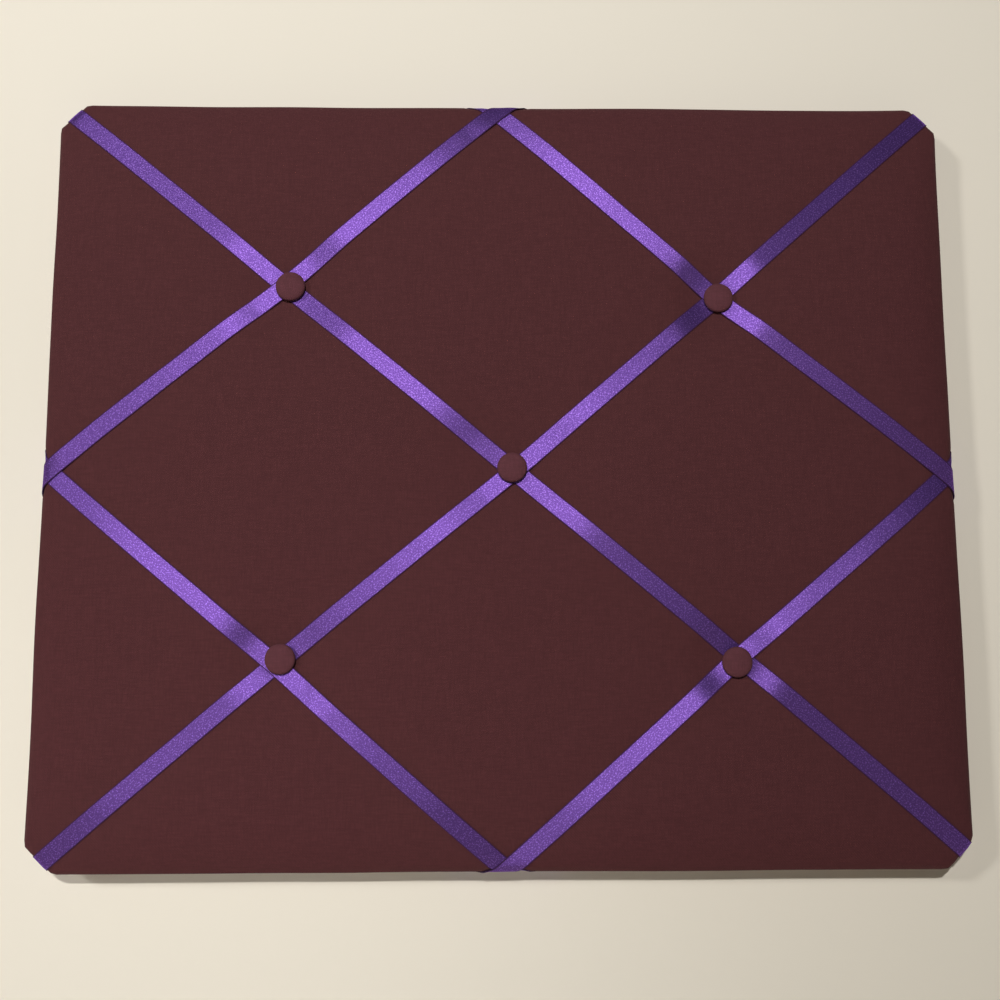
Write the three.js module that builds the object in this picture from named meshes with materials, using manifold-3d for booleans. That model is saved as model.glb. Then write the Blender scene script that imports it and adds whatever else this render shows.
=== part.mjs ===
// A padded french memo board: a fibreboard panel wrapped in wadding and cloth, crossed by ribbons
// that memos slide under, with a cloth-covered button sewn through the board at each crossing.
// Millimetres, +Z up, the front faces -Y. The origin lies on the bare back of the panel, midway
// between the two rings that the board hangs by.

import * as THREE from 'three';
import { mergeVertices } from 'three/addons/utils/BufferGeometryUtils.js';
import Module from 'manifold-3d';

// Covered board
const WIDTH = 480;            // over the cloth, side to side
const HEIGHT = 407;           // over the cloth, top to bottom
const CORNER_CUT = 13.5;      // taken off each corner, along both of its sides
const FIT = 0.3;              // room left between pieces that lie against each other

// Panel, wadding and cloth
const PANEL_T = 9;            // fibreboard
const PAD_SIDE = 2.8;         // wadding squeezed round the edge of the panel
const PAD_EDGE = 6.4;         // wadding on the front, where the edge begins to roll over
const CLOTH_T = 0.6;
const ROLL = 3;               // radius of the padded front edge
const ROLL_STEPS = 4;
const BACK_EASE = 1.5;        // bevel where the cloth turns on to the back
const HEM = 32;               // cloth turned over on to the back, from the outline inwards
const CROWN = 3;              // rise of the pad from its edge to its middle
const CROWN_POWER = 4;        // how flat the middle of the crown is
const TUFT = 2.6;             // how deep a button draws the pad in
const TUFT_RUN = 19;          // from the flat under a button out to where the pad is at full height

// Ribbons
const RIBBON_W = 10;
const RIBBON_T = 0.4;
const RIBBON_TAIL = 26;       // where a ribbon ends on the back, in from the outline
const RIBBON_STEP = 12;       // longest stretch between two bends on the front
const RIM_EASE = 3;           // a ribbon bends this far before and after the rim of a dip, and on it
const RIBBON_CLEAR = 2;       // a ribbon's last square bend, short of the rolled edge
const CROSS_IN = 4;           // from the outline in to where two ribbons should cross at an edge
const CROSS_GAP = 0.4;        // room between two ribbons that cross

// Covered buttons, measured forward from the plane of the button's rear lip
const BUTTON_R = 7.8;
const BUTTON_EDGE_H = 1.5;    // upright part of the rim
const BUTTON_H = 3.7;         // top of the dome
const BUTTON_CLOTH_T = 0.5;
const BUTTON_LIP = 2.4;       // cloth turned in behind the rim
const BUTTON_SHELL_T = 0.5;
const BUTTON_PLATE_T = 0.6;
const SHANK_WIRE_R = 0.6;
const SHANK_R = 2;            // bend of the wire loop behind the button
const THREAD_R = 0.6;
const SEW_PLAY = 0.7;         // round the shank and the thread where they pass through the layers
const ANCHOR_R = 6;           // small flat button that the thread is tied to, on the back
const ANCHOR_T = 2.2;
const KNOT_HALF_X = 1.5;
const KNOT_HALF_Y = 1.1;

// Hangers
const HANG_DROP = 60;         // from the top of the board down to the axis of the rings
const HANGER_IN = 80;         // from the side of the board in to each hanger
const STRAP_W = 10;
const STRAP_T = 0.8;          // one layer; the strap is folded double round the ring
const STRAP_PAST = 8;         // strap below the screw
const RING_WIRE_R = 1.2;
const RING_PLAY = 0.4;        // between the ring's wire and the eye of the strap
const RING_SIDE = 1;          // straight bar on each side of the strap
const RING_LEG = 5;           // straight sides, from the bar down to the bow
const RING_CORNER_R = 2.5;
const RING_BUTT = 0.4;        // gap where the bent wire's two ends meet inside the eye
const SCREW_CLEAR = 3.8;      // from the hanging ring down to the screw's head
const SCREW_R = 1.6;
const SCREW_HEAD_R = 3.5;
const SCREW_HEAD_H = 2.2;
const SCREW_RIM_H = 0.8;      // upright part of the head
const SCREW_SLOT_W = 0.9;
const SCREW_SLOT_DEPTH = 1;
const DRILL_SPARE = 0.5;      // a blind hole is this much deeper than what goes in
const PANEL_LEFT = 2.5;       // of the panel in front of a blind hole

// Staples that hold the ribbon ends
const STAPLE_IN = 14;         // from the outline in to the staple
const STAPLE_T = 0.7;         // wire, seen from the side
const STAPLE_WIDE = 1.2;      // wire, seen from behind

// Flat spot on the back of the panel about the origin
const LANDING_R = 20;

// Counts of facets
const DOME_SIDES = 16;
const SHELL_SIDES = 12;
const DOME_STEPS = 3;
const WIRE_SIDES = 6;
const BORE_SIDES = 12;
const HOLE_SIDES = 8;
const ARC_STEPS = 8;

// Places that follow from those sizes. Heights run forward from the back of the panel.
const EDGE_H = PANEL_T + FIT + PAD_EDGE + FIT + CLOTH_T;
const BACK_H = -(FIT + CLOTH_T);
const PANEL_IN = CLOTH_T + FIT + PAD_SIDE + FIT;
const FRONT_X = WIDTH / 2 - ROLL;
const FRONT_Z = HEIGHT / 2 - ROLL;
const BUTTON_X = (WIDTH / 2 - CROSS_IN) / 2;
const BUTTON_Z = (HEIGHT / 2 - CROSS_IN) / 2;
const ORIGIN_Z = HEIGHT / 2 - HANG_DROP;
const HANGER_X = WIDTH / 2 - HANGER_IN;
const CROSS_HALF = 0.8 * RIBBON_W;      // half the length of a crossing
const CROSS_FLAT = 1.1 * RIBBON_W;      // the upper ribbon stays raised this far from a crossing
const CROSS_RAMP = 2 * RIBBON_W;        // and is down on the cloth again at this distance
const TUFT_SEAT = 0.9 * RIBBON_W;       // half the side of the flat under a button
const TUFT_REACH = TUFT_SEAT + TUFT_RUN;
const STACK_H = FIT + RIBBON_T + CROSS_GAP + RIBBON_T + FIT;
const PLATE_BACK = BUTTON_CLOTH_T + FIT;
const BEND_R = SHANK_WIRE_R + FIT + THREAD_R;
const SHANK_END = PLATE_BACK - FIT - THREAD_R - BEND_R;
const SEW_HOLE_R = SHANK_R + SHANK_WIRE_R + SEW_PLAY;
const PANEL_BORE_R = BEND_R + THREAD_R + SEW_PLAY;
const KNOT_HALF_Z = BEND_R + 2 * THREAD_R;
const EYE_R = RING_WIRE_R + RING_PLAY;
const EYE_OUT = EYE_R + STRAP_T;
const PIVOT_Y = FIT + EYE_OUT;
const STRAP_BACK = FIT + 2 * STRAP_T;
const RING_HALF_W = STRAP_W / 2 + RING_SIDE + RING_CORNER_R;
const RING_DROP = RING_LEG + RING_HALF_W;
const RING_TILT = Math.asin((STRAP_BACK + FIT + RING_WIRE_R - PIVOT_Y) / RING_DROP);
const SCREW_DROP = RING_DROP + RING_WIRE_R + SCREW_CLEAR + SCREW_HEAD_R;
const STRAP_L = SCREW_DROP + STRAP_PAST;
const STRAP_END_R = 0.4 * STRAP_W;
const BLIND_DEPTH = PANEL_T - PANEL_LEFT;
const SCREW_IN = BLIND_DEPTH - DRILL_SPARE;
const STAPLE_HALF = RIBBON_W / 2 + FIT + STAPLE_T / 2;
const STAPLE_SEAT = -BACK_H + FIT + RIBBON_T + FIT;
const STAPLE_LEG = STAPLE_T + STAPLE_SEAT + BLIND_DEPTH - DRILL_SPARE;

// Each button, by its column and row in the lattice, with how far it was sewn off the true place
const BUTTONS = [
  { name: 'top_left', col: -1, row: 1, sewn: [6, -0.5] },
  { name: 'top_right', col: 1, row: 1, sewn: [-2, -6] },
  { name: 'centre', col: 0, row: 0, sewn: [5.5, 2] },
  { name: 'bottom_left', col: -1, row: -1, sewn: [5, 3] },
  { name: 'bottom_right', col: 1, row: -1, sewn: [2.5, 1] },
];

// The eight sides of the outline, clockwise from the front. Ribbons laid by hand stray from the middle
// of a side by a shift along it, and cross a little further out than CROSS_IN, or less.
const SIDES = [
  { name: 'top', shift: -2.5, past: -1.2 },
  { name: 'corner_top_right', shift: -1.8 },
  { name: 'right', shift: 1, past: -1 },
  { name: 'corner_bottom_right', shift: -3 },
  { name: 'bottom', shift: -2.3, past: 2.5 },
  { name: 'corner_bottom_left', shift: -2.5 },
  { name: 'left', shift: 0.3, past: 0 },
  { name: 'corner_top_left', shift: 1 },
];

// Each ribbon: the sides it is fixed at, the buttons it passes under, and the crossings where it
// lies on top of another ribbon
const RIBBONS = [
  {
    name: 'ribbon_falling',
    from: 'corner_top_left',
    via: ['top_left', 'centre', 'bottom_right'],
    to: 'corner_bottom_right',
    over: [],
  },
  {
    name: 'ribbon_rising',
    from: 'corner_bottom_left',
    via: ['bottom_left', 'centre', 'top_right'],
    to: 'corner_top_right',
    over: ['centre'],
  },
  { name: 'ribbon_top_left', from: 'left', via: ['top_left'], to: 'top', over: ['top_left', 'left', 'top'] },
  { name: 'ribbon_top_right', from: 'top', via: ['top_right'], to: 'right', over: ['top_right', 'right'] },
  {
    name: 'ribbon_bottom_right',
    from: 'right',
    via: ['bottom_right'],
    to: 'bottom',
    over: ['bottom_right', 'bottom'],
  },
  { name: 'ribbon_bottom_left', from: 'bottom', via: ['bottom_left'], to: 'left', over: ['bottom_left'] },
];

// Finishes
const finish = (color, roughness, metalness = 0) =>
  new THREE.MeshStandardMaterial({ color, roughness, metalness });
const BROWN_CLOTH = finish('#4b2d30', 0.9);
const PURPLE_SATIN = finish('#6f4fb0', 0.35);
const FIBREBOARD = finish('#a9865c', 0.85);
const POLYESTER_WADDING = finish('#e9e6de', 1);
const PRESSED_ALUMINIUM = finish('#b9bcc0', 0.4, 1);
const STEEL_WIRE = finish('#9a9da1', 0.35, 1);
const WAXED_THREAD = finish('#3a2426', 0.8);
const PALE_PLASTIC = finish('#e4e0d4', 0.3);
const NICKEL_PLATE = finish('#c6c3ba', 0.3, 1);

// Joining and cutting of closed meshes
const wasm = await Module();
wasm.setup();

function toSolid(geometry) {
  const bare = geometry.clone();
  bare.deleteAttribute('normal');
  bare.deleteAttribute('uv');
  const merged = mergeVertices(bare, 1e-4);
  return new wasm.Manifold(new wasm.Mesh({
    numProp: 3,
    vertProperties: new Float32Array(merged.attributes.position.array),
    triVerts: new Uint32Array(merged.index.array),
  }));
}

function fromSolid(solid) {
  const mesh = solid.getMesh();
  const geometry = new THREE.BufferGeometry();
  geometry.setAttribute('position', new THREE.BufferAttribute(mesh.vertProperties, mesh.numProp));
  geometry.setIndex(new THREE.BufferAttribute(mesh.triVerts, 1));
  return geometry;
}

const cut = (geometry, cutters) =>
  fromSolid(cutters.reduce((left, cutter) => left.subtract(toSolid(cutter)), toSolid(geometry)));
const join = (a, b) => fromSolid(toSolid(a).add(toSolid(b)));
const common = (a, b) => fromSolid(toSolid(a).intersect(toSolid(b)));

// Small shapes
const plan = (x, z) => new THREE.Vector2(x, z);
const space = (x, y, z) => new THREE.Vector3(x, y, z);

function polygon(radius, sides, centre = plan(0, 0), turn = 0) {
  return Array.from({ length: sides }, (_, k) => {
    const angle = turn + (2 * Math.PI * k) / sides;
    return plan(centre.x + radius * Math.cos(angle), centre.y + radius * Math.sin(angle));
  });
}

function extrude(edge, holes, depth) {
  const shape = new THREE.Shape(edge);
  shape.holes = holes.map((hole) => new THREE.Path(hole));
  return new THREE.ExtrudeGeometry(shape, { depth, bevelEnabled: false, curveSegments: ARC_STEPS });
}

// A curve that a wire follows with one joint at each of its points
class WirePath extends THREE.CatmullRomCurve3 {
  getUtoTmapping(u) {
    return u;
  }
}

function wire(points, radius) {
  const round = new THREE.Shape(polygon(radius, WIRE_SIDES));
  return new THREE.ExtrudeGeometry(round, { extrudePath: new WirePath(points), steps: points.length - 1 });
}

// Points of an arc in a plane, given by its centre and the two directions that it turns between
function arcPoints(centre, start, end, steps, turn = Math.PI / 2) {
  return Array.from({ length: steps + 1 }, (_, k) => {
    const angle = (turn * k) / steps;
    return centre.clone().addScaledVector(start, Math.cos(angle)).addScaledVector(end, Math.sin(angle));
  });
}

// A sheet of triangles that is built up loop by loop. A loop runs clockwise as seen from the front,
// and each of its points knows how far round the eight sides it lies.
class Skin {
  points = [];
  faces = [];
  inward = false;

  add(x, height, z) {
    this.points.push(x, -height, z);
    return this.points.length / 3 - 1;
  }

  triangle(a, b, c) {
    this.faces.push(...(this.inward ? [a, c, b] : [a, b, c]));
  }

  ring(corners, height, first = 0) {
    const step = SIDES.length / corners.length;
    return corners.map((p, k) => ({ id: this.add(p.x, height, p.y), at: first + k * step }));
  }

  band(inner, outer) {
    const at = (loop, k) => loop[k % loop.length].at + SIDES.length * Math.floor(k / loop.length);
    const middle = (loop, k) => (at(loop, k) + at(loop, k + 1)) / 2;
    const id = (loop, k) => loop[k % loop.length].id;
    let i = 0;
    let j = 0;
    while (i < inner.length || j < outer.length) {
      const innerNext = i < inner.length && middle(inner, i) <= middle(outer, j);
      if (innerNext || j === outer.length) {
        this.triangle(id(inner, i), id(inner, i + 1), id(outer, j));
        i += 1;
      } else {
        this.triangle(id(inner, i), id(outer, j + 1), id(outer, j));
        j += 1;
      }
    }
  }

  lid(loop) {
    for (let k = 1; k < loop.length - 1; k += 1) {
      this.triangle(loop[k].id, loop[k + 1].id, loop[0].id);
    }
  }

  geometry() {
    const geometry = new THREE.BufferGeometry();
    geometry.setAttribute('position', new THREE.Float32BufferAttribute(this.points, 3));
    geometry.setIndex(this.faces);
    return geometry;
  }
}

// Outline of the board, moved in from the cloth's face
function outline(inset) {
  const x = WIDTH / 2 - inset;
  const z = HEIGHT / 2 - inset;
  const corner = CORNER_CUT - inset * (2 - Math.SQRT2);
  return [
    plan(corner - x, z), plan(x - corner, z), plan(x, z - corner), plan(x, corner - z),
    plan(x - corner, -z), plan(corner - x, -z), plan(-x, corner - z), plan(-x, z - corner),
  ];
}

// The side's own axes at the line where the edge begins to roll
SIDES.forEach((side, k) => {
  const ring = outline(ROLL);
  const start = ring[k];
  const end = ring[(k + 1) % ring.length];
  side.mid = start.clone().add(end).multiplyScalar(0.5);
  side.along = end.clone().sub(start).normalize();
  side.out = plan(-side.along.y, side.along.x);
  const crossing = side.name.startsWith('corner') ? 0 : ROLL - CROSS_IN + side.past;
  side.aim = onSide(side, side.shift, crossing);
});

function onSide(side, along, out) {
  return side.mid.clone().addScaledVector(side.along, along).addScaledVector(side.out, out);
}

BUTTONS.forEach((button) => {
  button.lattice = plan(button.col * BUTTON_X, button.row * BUTTON_Z);
  button.place = button.lattice.clone().add(plan(...button.sewn));
});

const sideNamed = (name) => SIDES.find((side) => side.name === name);
const buttonNamed = (name) => BUTTONS.find((button) => button.name === name);

// Section of a layer that lies some depth under the cloth's face, from the front, round the rolled
// edge and on to the back, as pairs of inset and height
function section(depth, reach) {
  const points = [];
  for (let k = 0; k <= ROLL_STEPS; k += 1) {
    const turn = (k / ROLL_STEPS) * (Math.PI / 2);
    const radius = ROLL - depth;
    points.push([ROLL - radius * Math.sin(turn), EDGE_H - ROLL + radius * Math.cos(turn)]);
  }
  const ease = BACK_EASE - depth * (2 - Math.SQRT2);
  points.push([depth, BACK_H + depth + ease]);
  points.push([depth + ease, BACK_H + depth]);
  points.push([reach, BACK_H + depth]);
  return points;
}

// The padded front: a grid with lines at every tuft, crowned, and drawn in at the buttons
function gridLines(half, button) {
  const corner = CORNER_CUT - ROLL * (2 - Math.SQRT2);
  const positive = [
    TUFT_SEAT, TUFT_REACH, button - TUFT_REACH, button - TUFT_SEAT, button, button + TUFT_SEAT,
    button + TUFT_REACH, half - corner, half,
  ];
  return [0, ...positive, ...positive.map((line) => -line)].sort((a, b) => a - b);
}

const COLUMNS = gridLines(FRONT_X, BUTTON_X);
const ROWS = gridLines(FRONT_Z, BUTTON_Z);

function tuftDepth(u, v) {
  return BUTTONS.reduce((depth, { lattice }) => {
    const away = Math.max(Math.abs(u - lattice.x), Math.abs(v - lattice.y));
    const share = THREE.MathUtils.clamp((TUFT_REACH - away) / (TUFT_REACH - TUFT_SEAT), 0, 1);
    return Math.max(depth, share * TUFT);
  }, 0);
}

function frontPoint(u, v) {
  const cornerRow = FRONT_Z - (CORNER_CUT - ROLL * (2 - Math.SQRT2));
  const narrowed = 1 - Math.max(0, Math.abs(v) - cornerRow) / FRONT_X;
  const point = new THREE.Vector3(u * narrowed, 0, v);
  BUTTONS.forEach(({ lattice, sewn }) => {
    const nearX = Math.max(0, 1 - Math.abs(u - lattice.x) / (FRONT_X - BUTTON_X));
    const nearZ = Math.max(0, 1 - Math.abs(v - lattice.y) / (FRONT_Z - BUTTON_Z));
    point.x += nearX * nearZ * sewn[0];
    point.z += nearX * nearZ * sewn[1];
  });
  const fallX = 1 - Math.abs(u / FRONT_X) ** CROWN_POWER;
  const fallZ = 1 - Math.abs(v / FRONT_Z) ** CROWN_POWER;
  point.y = EDGE_H + CROWN * fallX * fallZ - tuftDepth(u, v);
  return point;
}

// In a cell beside a tuft the diagonal runs round the button, so that the dip looks round
function leansRight(u, v) {
  const nearest = BUTTONS.reduce((best, button) =>
    (button.lattice.distanceTo(plan(u, v)) < best.lattice.distanceTo(plan(u, v)) ? button : best));
  return (u - nearest.lattice.x) * (v - nearest.lattice.y) < 0;
}

function frontSheet(skin, depth) {
  const ids = ROWS.map((v) => COLUMNS.map((u) => {
    const point = frontPoint(u, v);
    return skin.add(point.x, point.y - depth, point.z);
  }));
  const lastColumn = COLUMNS.length - 1;
  const lastRow = ROWS.length - 1;
  for (let j = 0; j < lastRow; j += 1) {
    for (let i = 0; i < lastColumn; i += 1) {
      const [a, b, c, d] = [ids[j][i], ids[j][i + 1], ids[j + 1][i + 1], ids[j + 1][i]];
      if (leansRight((COLUMNS[i] + COLUMNS[i + 1]) / 2, (ROWS[j] + ROWS[j + 1]) / 2)) {
        skin.triangle(a, b, c);
        skin.triangle(a, c, d);
      } else {
        skin.triangle(a, b, d);
        skin.triangle(b, c, d);
      }
    }
  }
  const loop = [];
  for (let i = 0; i <= lastColumn; i += 1) {
    loop.push({ id: ids[lastRow][i], at: i / lastColumn });
  }
  for (let j = lastRow - 1; j >= 1; j -= 1) {
    loop.push({ id: ids[j][lastColumn], at: 2 + (lastRow - 1 - j) / (lastRow - 2) });
  }
  for (let i = lastColumn; i >= 0; i -= 1) {
    loop.push({ id: ids[0][i], at: 4 + (lastColumn - i) / lastColumn });
  }
  for (let j = 1; j < lastRow; j += 1) {
    loop.push({ id: ids[j][0], at: 6 + (j - 1) / (lastRow - 2) });
  }
  return loop;
}

// Cloth: front, rolled edge, sides and the hem on the back, as one closed skin of even thickness
function clothLayer(skin, depth) {
  const hemX = WIDTH / 2 - HEM;
  const hemZ = HEIGHT / 2 - HEM;
  const hem = [plan(hemX, hemZ), plan(hemX, -hemZ), plan(-hemX, -hemZ), plan(-hemX, hemZ)];
  const firstCorner = 1.5;
  let loop = frontSheet(skin, depth);
  section(depth, HEM).slice(1, -1).forEach(([inset, height]) => {
    const next = skin.ring(outline(inset), height);
    skin.band(loop, next);
    loop = next;
  });
  const edge = skin.ring(hem, BACK_H + depth, firstCorner);
  skin.band(loop, edge);
  return edge;
}

function clothGeometry() {
  const skin = new Skin();
  const outside = clothLayer(skin, 0);
  skin.inward = true;
  const inside = clothLayer(skin, CLOTH_T);
  skin.inward = false;
  skin.band(outside, inside);
  return skin.geometry();
}

// Wadding: fills the cloth over the front and round the edge of the panel
function waddingGeometry() {
  const skin = new Skin();
  const depth = CLOTH_T + FIT;
  let loop = frontSheet(skin, depth);
  const pocket = PANEL_IN - FIT;
  const rings = [...section(depth, pocket).slice(1), [pocket, PANEL_T + FIT]];
  rings.forEach(([inset, height]) => {
    const next = skin.ring(outline(inset), height);
    skin.band(loop, next);
    loop = next;
  });
  skin.lid(loop);
  return skin.geometry();
}

// Height of the faceted cloth at a point of the front
const clothFacets = (() => {
  const skin = new Skin();
  frontSheet(skin, 0);
  const corners = skin.faces.map((id) => new THREE.Vector3().fromArray(skin.points, 3 * id));
  return Array.from({ length: corners.length / 3 }, (_, k) => corners.slice(3 * k, 3 * k + 3));
})();

function heightAt(p) {
  for (const [a, b, c] of clothFacets) {
    const area = (b.x - a.x) * (c.z - a.z) - (c.x - a.x) * (b.z - a.z);
    const second = ((p.x - a.x) * (c.z - a.z) - (c.x - a.x) * (p.y - a.z)) / area;
    const third = ((b.x - a.x) * (p.y - a.z) - (p.x - a.x) * (b.z - a.z)) / area;
    if (second >= 0 && third >= 0 && second + third <= 1) {
      return -(a.y + second * (b.y - a.y) + third * (c.y - a.y));
    }
  }
  return EDGE_H;
}

BUTTONS.forEach((button) => {
  button.seat = heightAt(button.place);
  button.rim = button.seat + STACK_H;
});

// Ribbons: each is a list of stations, a left and a right point, that run on over the front and
// then straight on in the flat as the ribbon folds round the edge
const FOLDS = section(0, RIBBON_TAIL).reduce((distances, [inset, height], k, points) => {
  const step = k === 0 ? 0 : Math.hypot(inset - points[k - 1][0], height - points[k - 1][1]);
  return [...distances, (distances[k - 1] ?? 0) + step];
}, []);

function frontVertex(flat) {
  const height = heightAt(flat);
  return { flat, at: (lift) => [flat.x, height + lift, flat.y] };
}

function foldVertex(flat, side, k) {
  const along = flat.clone().sub(side.mid).dot(side.along);
  const at = (lift) => {
    const [inset, height] = section(-lift, RIBBON_TAIL)[k];
    const p = onSide(side, along, ROLL - inset);
    return [p.x, height, p.y];
  };
  return { flat, at };
}

const heading = (from, to) => to.clone().sub(from).normalize();
const leftOf = (direction) => plan(-direction.y, direction.x);

function pairAt(p, left) {
  return [1, -1].map((hand) => p.clone().addScaledVector(left, (hand * RIBBON_W) / 2));
}

// Distances along a stretch where a ribbon bends: at the end of the flat and at the rim of the dip
// about each button, and evenly in between
function bends(length, direction, buttonAtEnd) {
  const rim = (TUFT_REACH + TUFT_SEAT) / (Math.abs(direction.x) + Math.abs(direction.y));
  const near = [CROSS_HALF, rim - RIM_EASE, rim, rim + RIM_EASE];
  const far = buttonAtEnd ? near.map((distance) => length - distance).reverse() : [length];
  const start = near.at(-1);
  const count = Math.ceil((far[0] - start) / RIBBON_STEP);
  const even = Array.from({ length: count - 1 }, (_, k) => start + ((far[0] - start) * (k + 1)) / count);
  return [...near, ...even, ...far];
}

function endRun(start, side) {
  const direction = heading(start, side.aim);
  const rate = direction.dot(side.out);
  const toEdge = (p) => -p.clone().sub(side.mid).dot(side.out) / rate;
  const lines = pairAt(start, leftOf(direction));
  const free = Math.min(...lines.map(toEdge)) - RIBBON_CLEAR;
  const stations = bends(free, direction, false)
    .map((distance) => lines.map((p) => frontVertex(p.clone().addScaledVector(direction, distance))));
  FOLDS.forEach((distance, k) => {
    stations.push(lines.map((p) => {
      const flat = p.clone().addScaledVector(direction, toEdge(p) + distance / rate);
      return foldVertex(flat, side, k);
    }));
  });
  return stations;
}

function middleRun(points) {
  const stations = [];
  for (let k = 1; k < points.length - 1; k += 1) {
    const ahead = heading(points[k], points[k + 1]);
    const mitre = heading(points[k - 1], points[k]).add(ahead).normalize();
    stations.push(pairAt(points[k], leftOf(mitre)).map(frontVertex));
    if (k < points.length - 2) {
      bends(points[k].distanceTo(points[k + 1]), ahead, true).forEach((distance) => {
        const p = points[k].clone().addScaledVector(ahead, distance);
        stations.push(pairAt(p, leftOf(ahead)).map(frontVertex));
      });
    }
  }
  return stations;
}

function ribbonLift(ribbon, flat) {
  const raised = ribbon.over.map((name) => {
    const crossing = buttonNamed(name)?.place ?? sideNamed(name).aim;
    const away = flat.distanceTo(crossing);
    return THREE.MathUtils.clamp((CROSS_RAMP - away) / (CROSS_RAMP - CROSS_FLAT), 0, 1);
  });
  return FIT + (RIBBON_T + CROSS_GAP) * Math.max(0, ...raised);
}

function ribbonGeometry(ribbon) {
  const from = sideNamed(ribbon.from);
  const to = sideNamed(ribbon.to);
  const via = ribbon.via.map((name) => buttonNamed(name).place);
  const stations = [
    ...endRun(via[0], from).reverse().map(([left, right]) => [right, left]),
    ...middleRun([from.aim, ...via, to.aim]),
    ...endRun(via.at(-1), to),
  ];
  const skin = new Skin();
  const rings = stations.map(([left, right]) => {
    const [leftLift, rightLift] = [left, right].map(({ flat }) => ribbonLift(ribbon, flat));
    return [
      left.at(leftLift), left.at(leftLift + RIBBON_T), right.at(rightLift + RIBBON_T), right.at(rightLift),
    ].map((point) => skin.add(...point));
  });
  const corners = rings[0].length;
  const quad = (a, b, c, d) => {
    skin.triangle(a, b, c);
    skin.triangle(a, c, d);
  };
  rings.slice(1).forEach((ring, k) => {
    for (let side = 0; side < corners; side += 1) {
      const next = (side + 1) % corners;
      quad(rings[k][side], rings[k][next], ring[next], ring[side]);
    }
  });
  quad(...[...rings[0]].reverse());
  quad(...rings.at(-1));
  const holes = ribbon.via.map((name) => sewingHole(buttonNamed(name)));
  return cut(skin.geometry(), holes);
}

// What goes through the layers at a button
function sewingHole({ place, seat }) {
  const length = 2 * (seat + CROWN + TUFT);
  return new THREE.CylinderGeometry(SEW_HOLE_R, SEW_HOLE_R, length, HOLE_SIDES).translate(place.x, 0, place.y);
}

// Staples: one across each ribbon end, with its legs outside the ribbon
function ribbonEnd(ribbon, sideName, start) {
  const side = sideNamed(sideName);
  const direction = heading(start, side.aim);
  const [hemInset] = section(0, STAPLE_IN).at(-2);
  const out = FOLDS.at(-2) + STAPLE_IN - hemInset;
  const along = side.shift + ((out - side.aim.clone().sub(side.mid).dot(side.out)) * direction.dot(side.along))
    / direction.dot(side.out);
  const back = side.along.clone().multiplyScalar(direction.dot(side.along))
    .addScaledVector(side.out, -direction.dot(side.out));
  return {
    name: `staple_${ribbon.name}_${sideName}`,
    place: onSide(side, along, ROLL - STAPLE_IN),
    across: leftOf(back),
  };
}

const STAPLES = RIBBONS.flatMap((ribbon) => [
  ribbonEnd(ribbon, ribbon.from, buttonNamed(ribbon.via[0]).place),
  ribbonEnd(ribbon, ribbon.to, buttonNamed(ribbon.via.at(-1)).place),
]);

const stapleTurn = ({ across }) => Math.atan2(-across.y, across.x);
const legsOf = ({ place, across }) =>
  [1, -1].map((hand) => place.clone().addScaledVector(across, hand * STAPLE_HALF));

function legCutter(staple, leg) {
  const across = STAPLE_T + 2 * FIT;
  const along = STAPLE_WIDE + 2 * FIT;
  return new THREE.BoxGeometry(across, STAPLE_LEG, along)
    .rotateY(stapleTurn(staple)).translate(leg.x, 0, leg.y);
}

function stapleGeometry() {
  const half = STAPLE_HALF + STAPLE_T / 2;
  const inner = half - STAPLE_T;
  const tip = STAPLE_T - STAPLE_LEG;
  const bend = [
    plan(-half, tip), plan(-inner, tip), plan(-inner, 0), plan(inner, 0),
    plan(inner, tip), plan(half, tip), plan(half, STAPLE_T), plan(-half, STAPLE_T),
  ];
  return extrude(bend, [], STAPLE_WIDE).translate(0, 0, -STAPLE_WIDE / 2);
}

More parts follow.
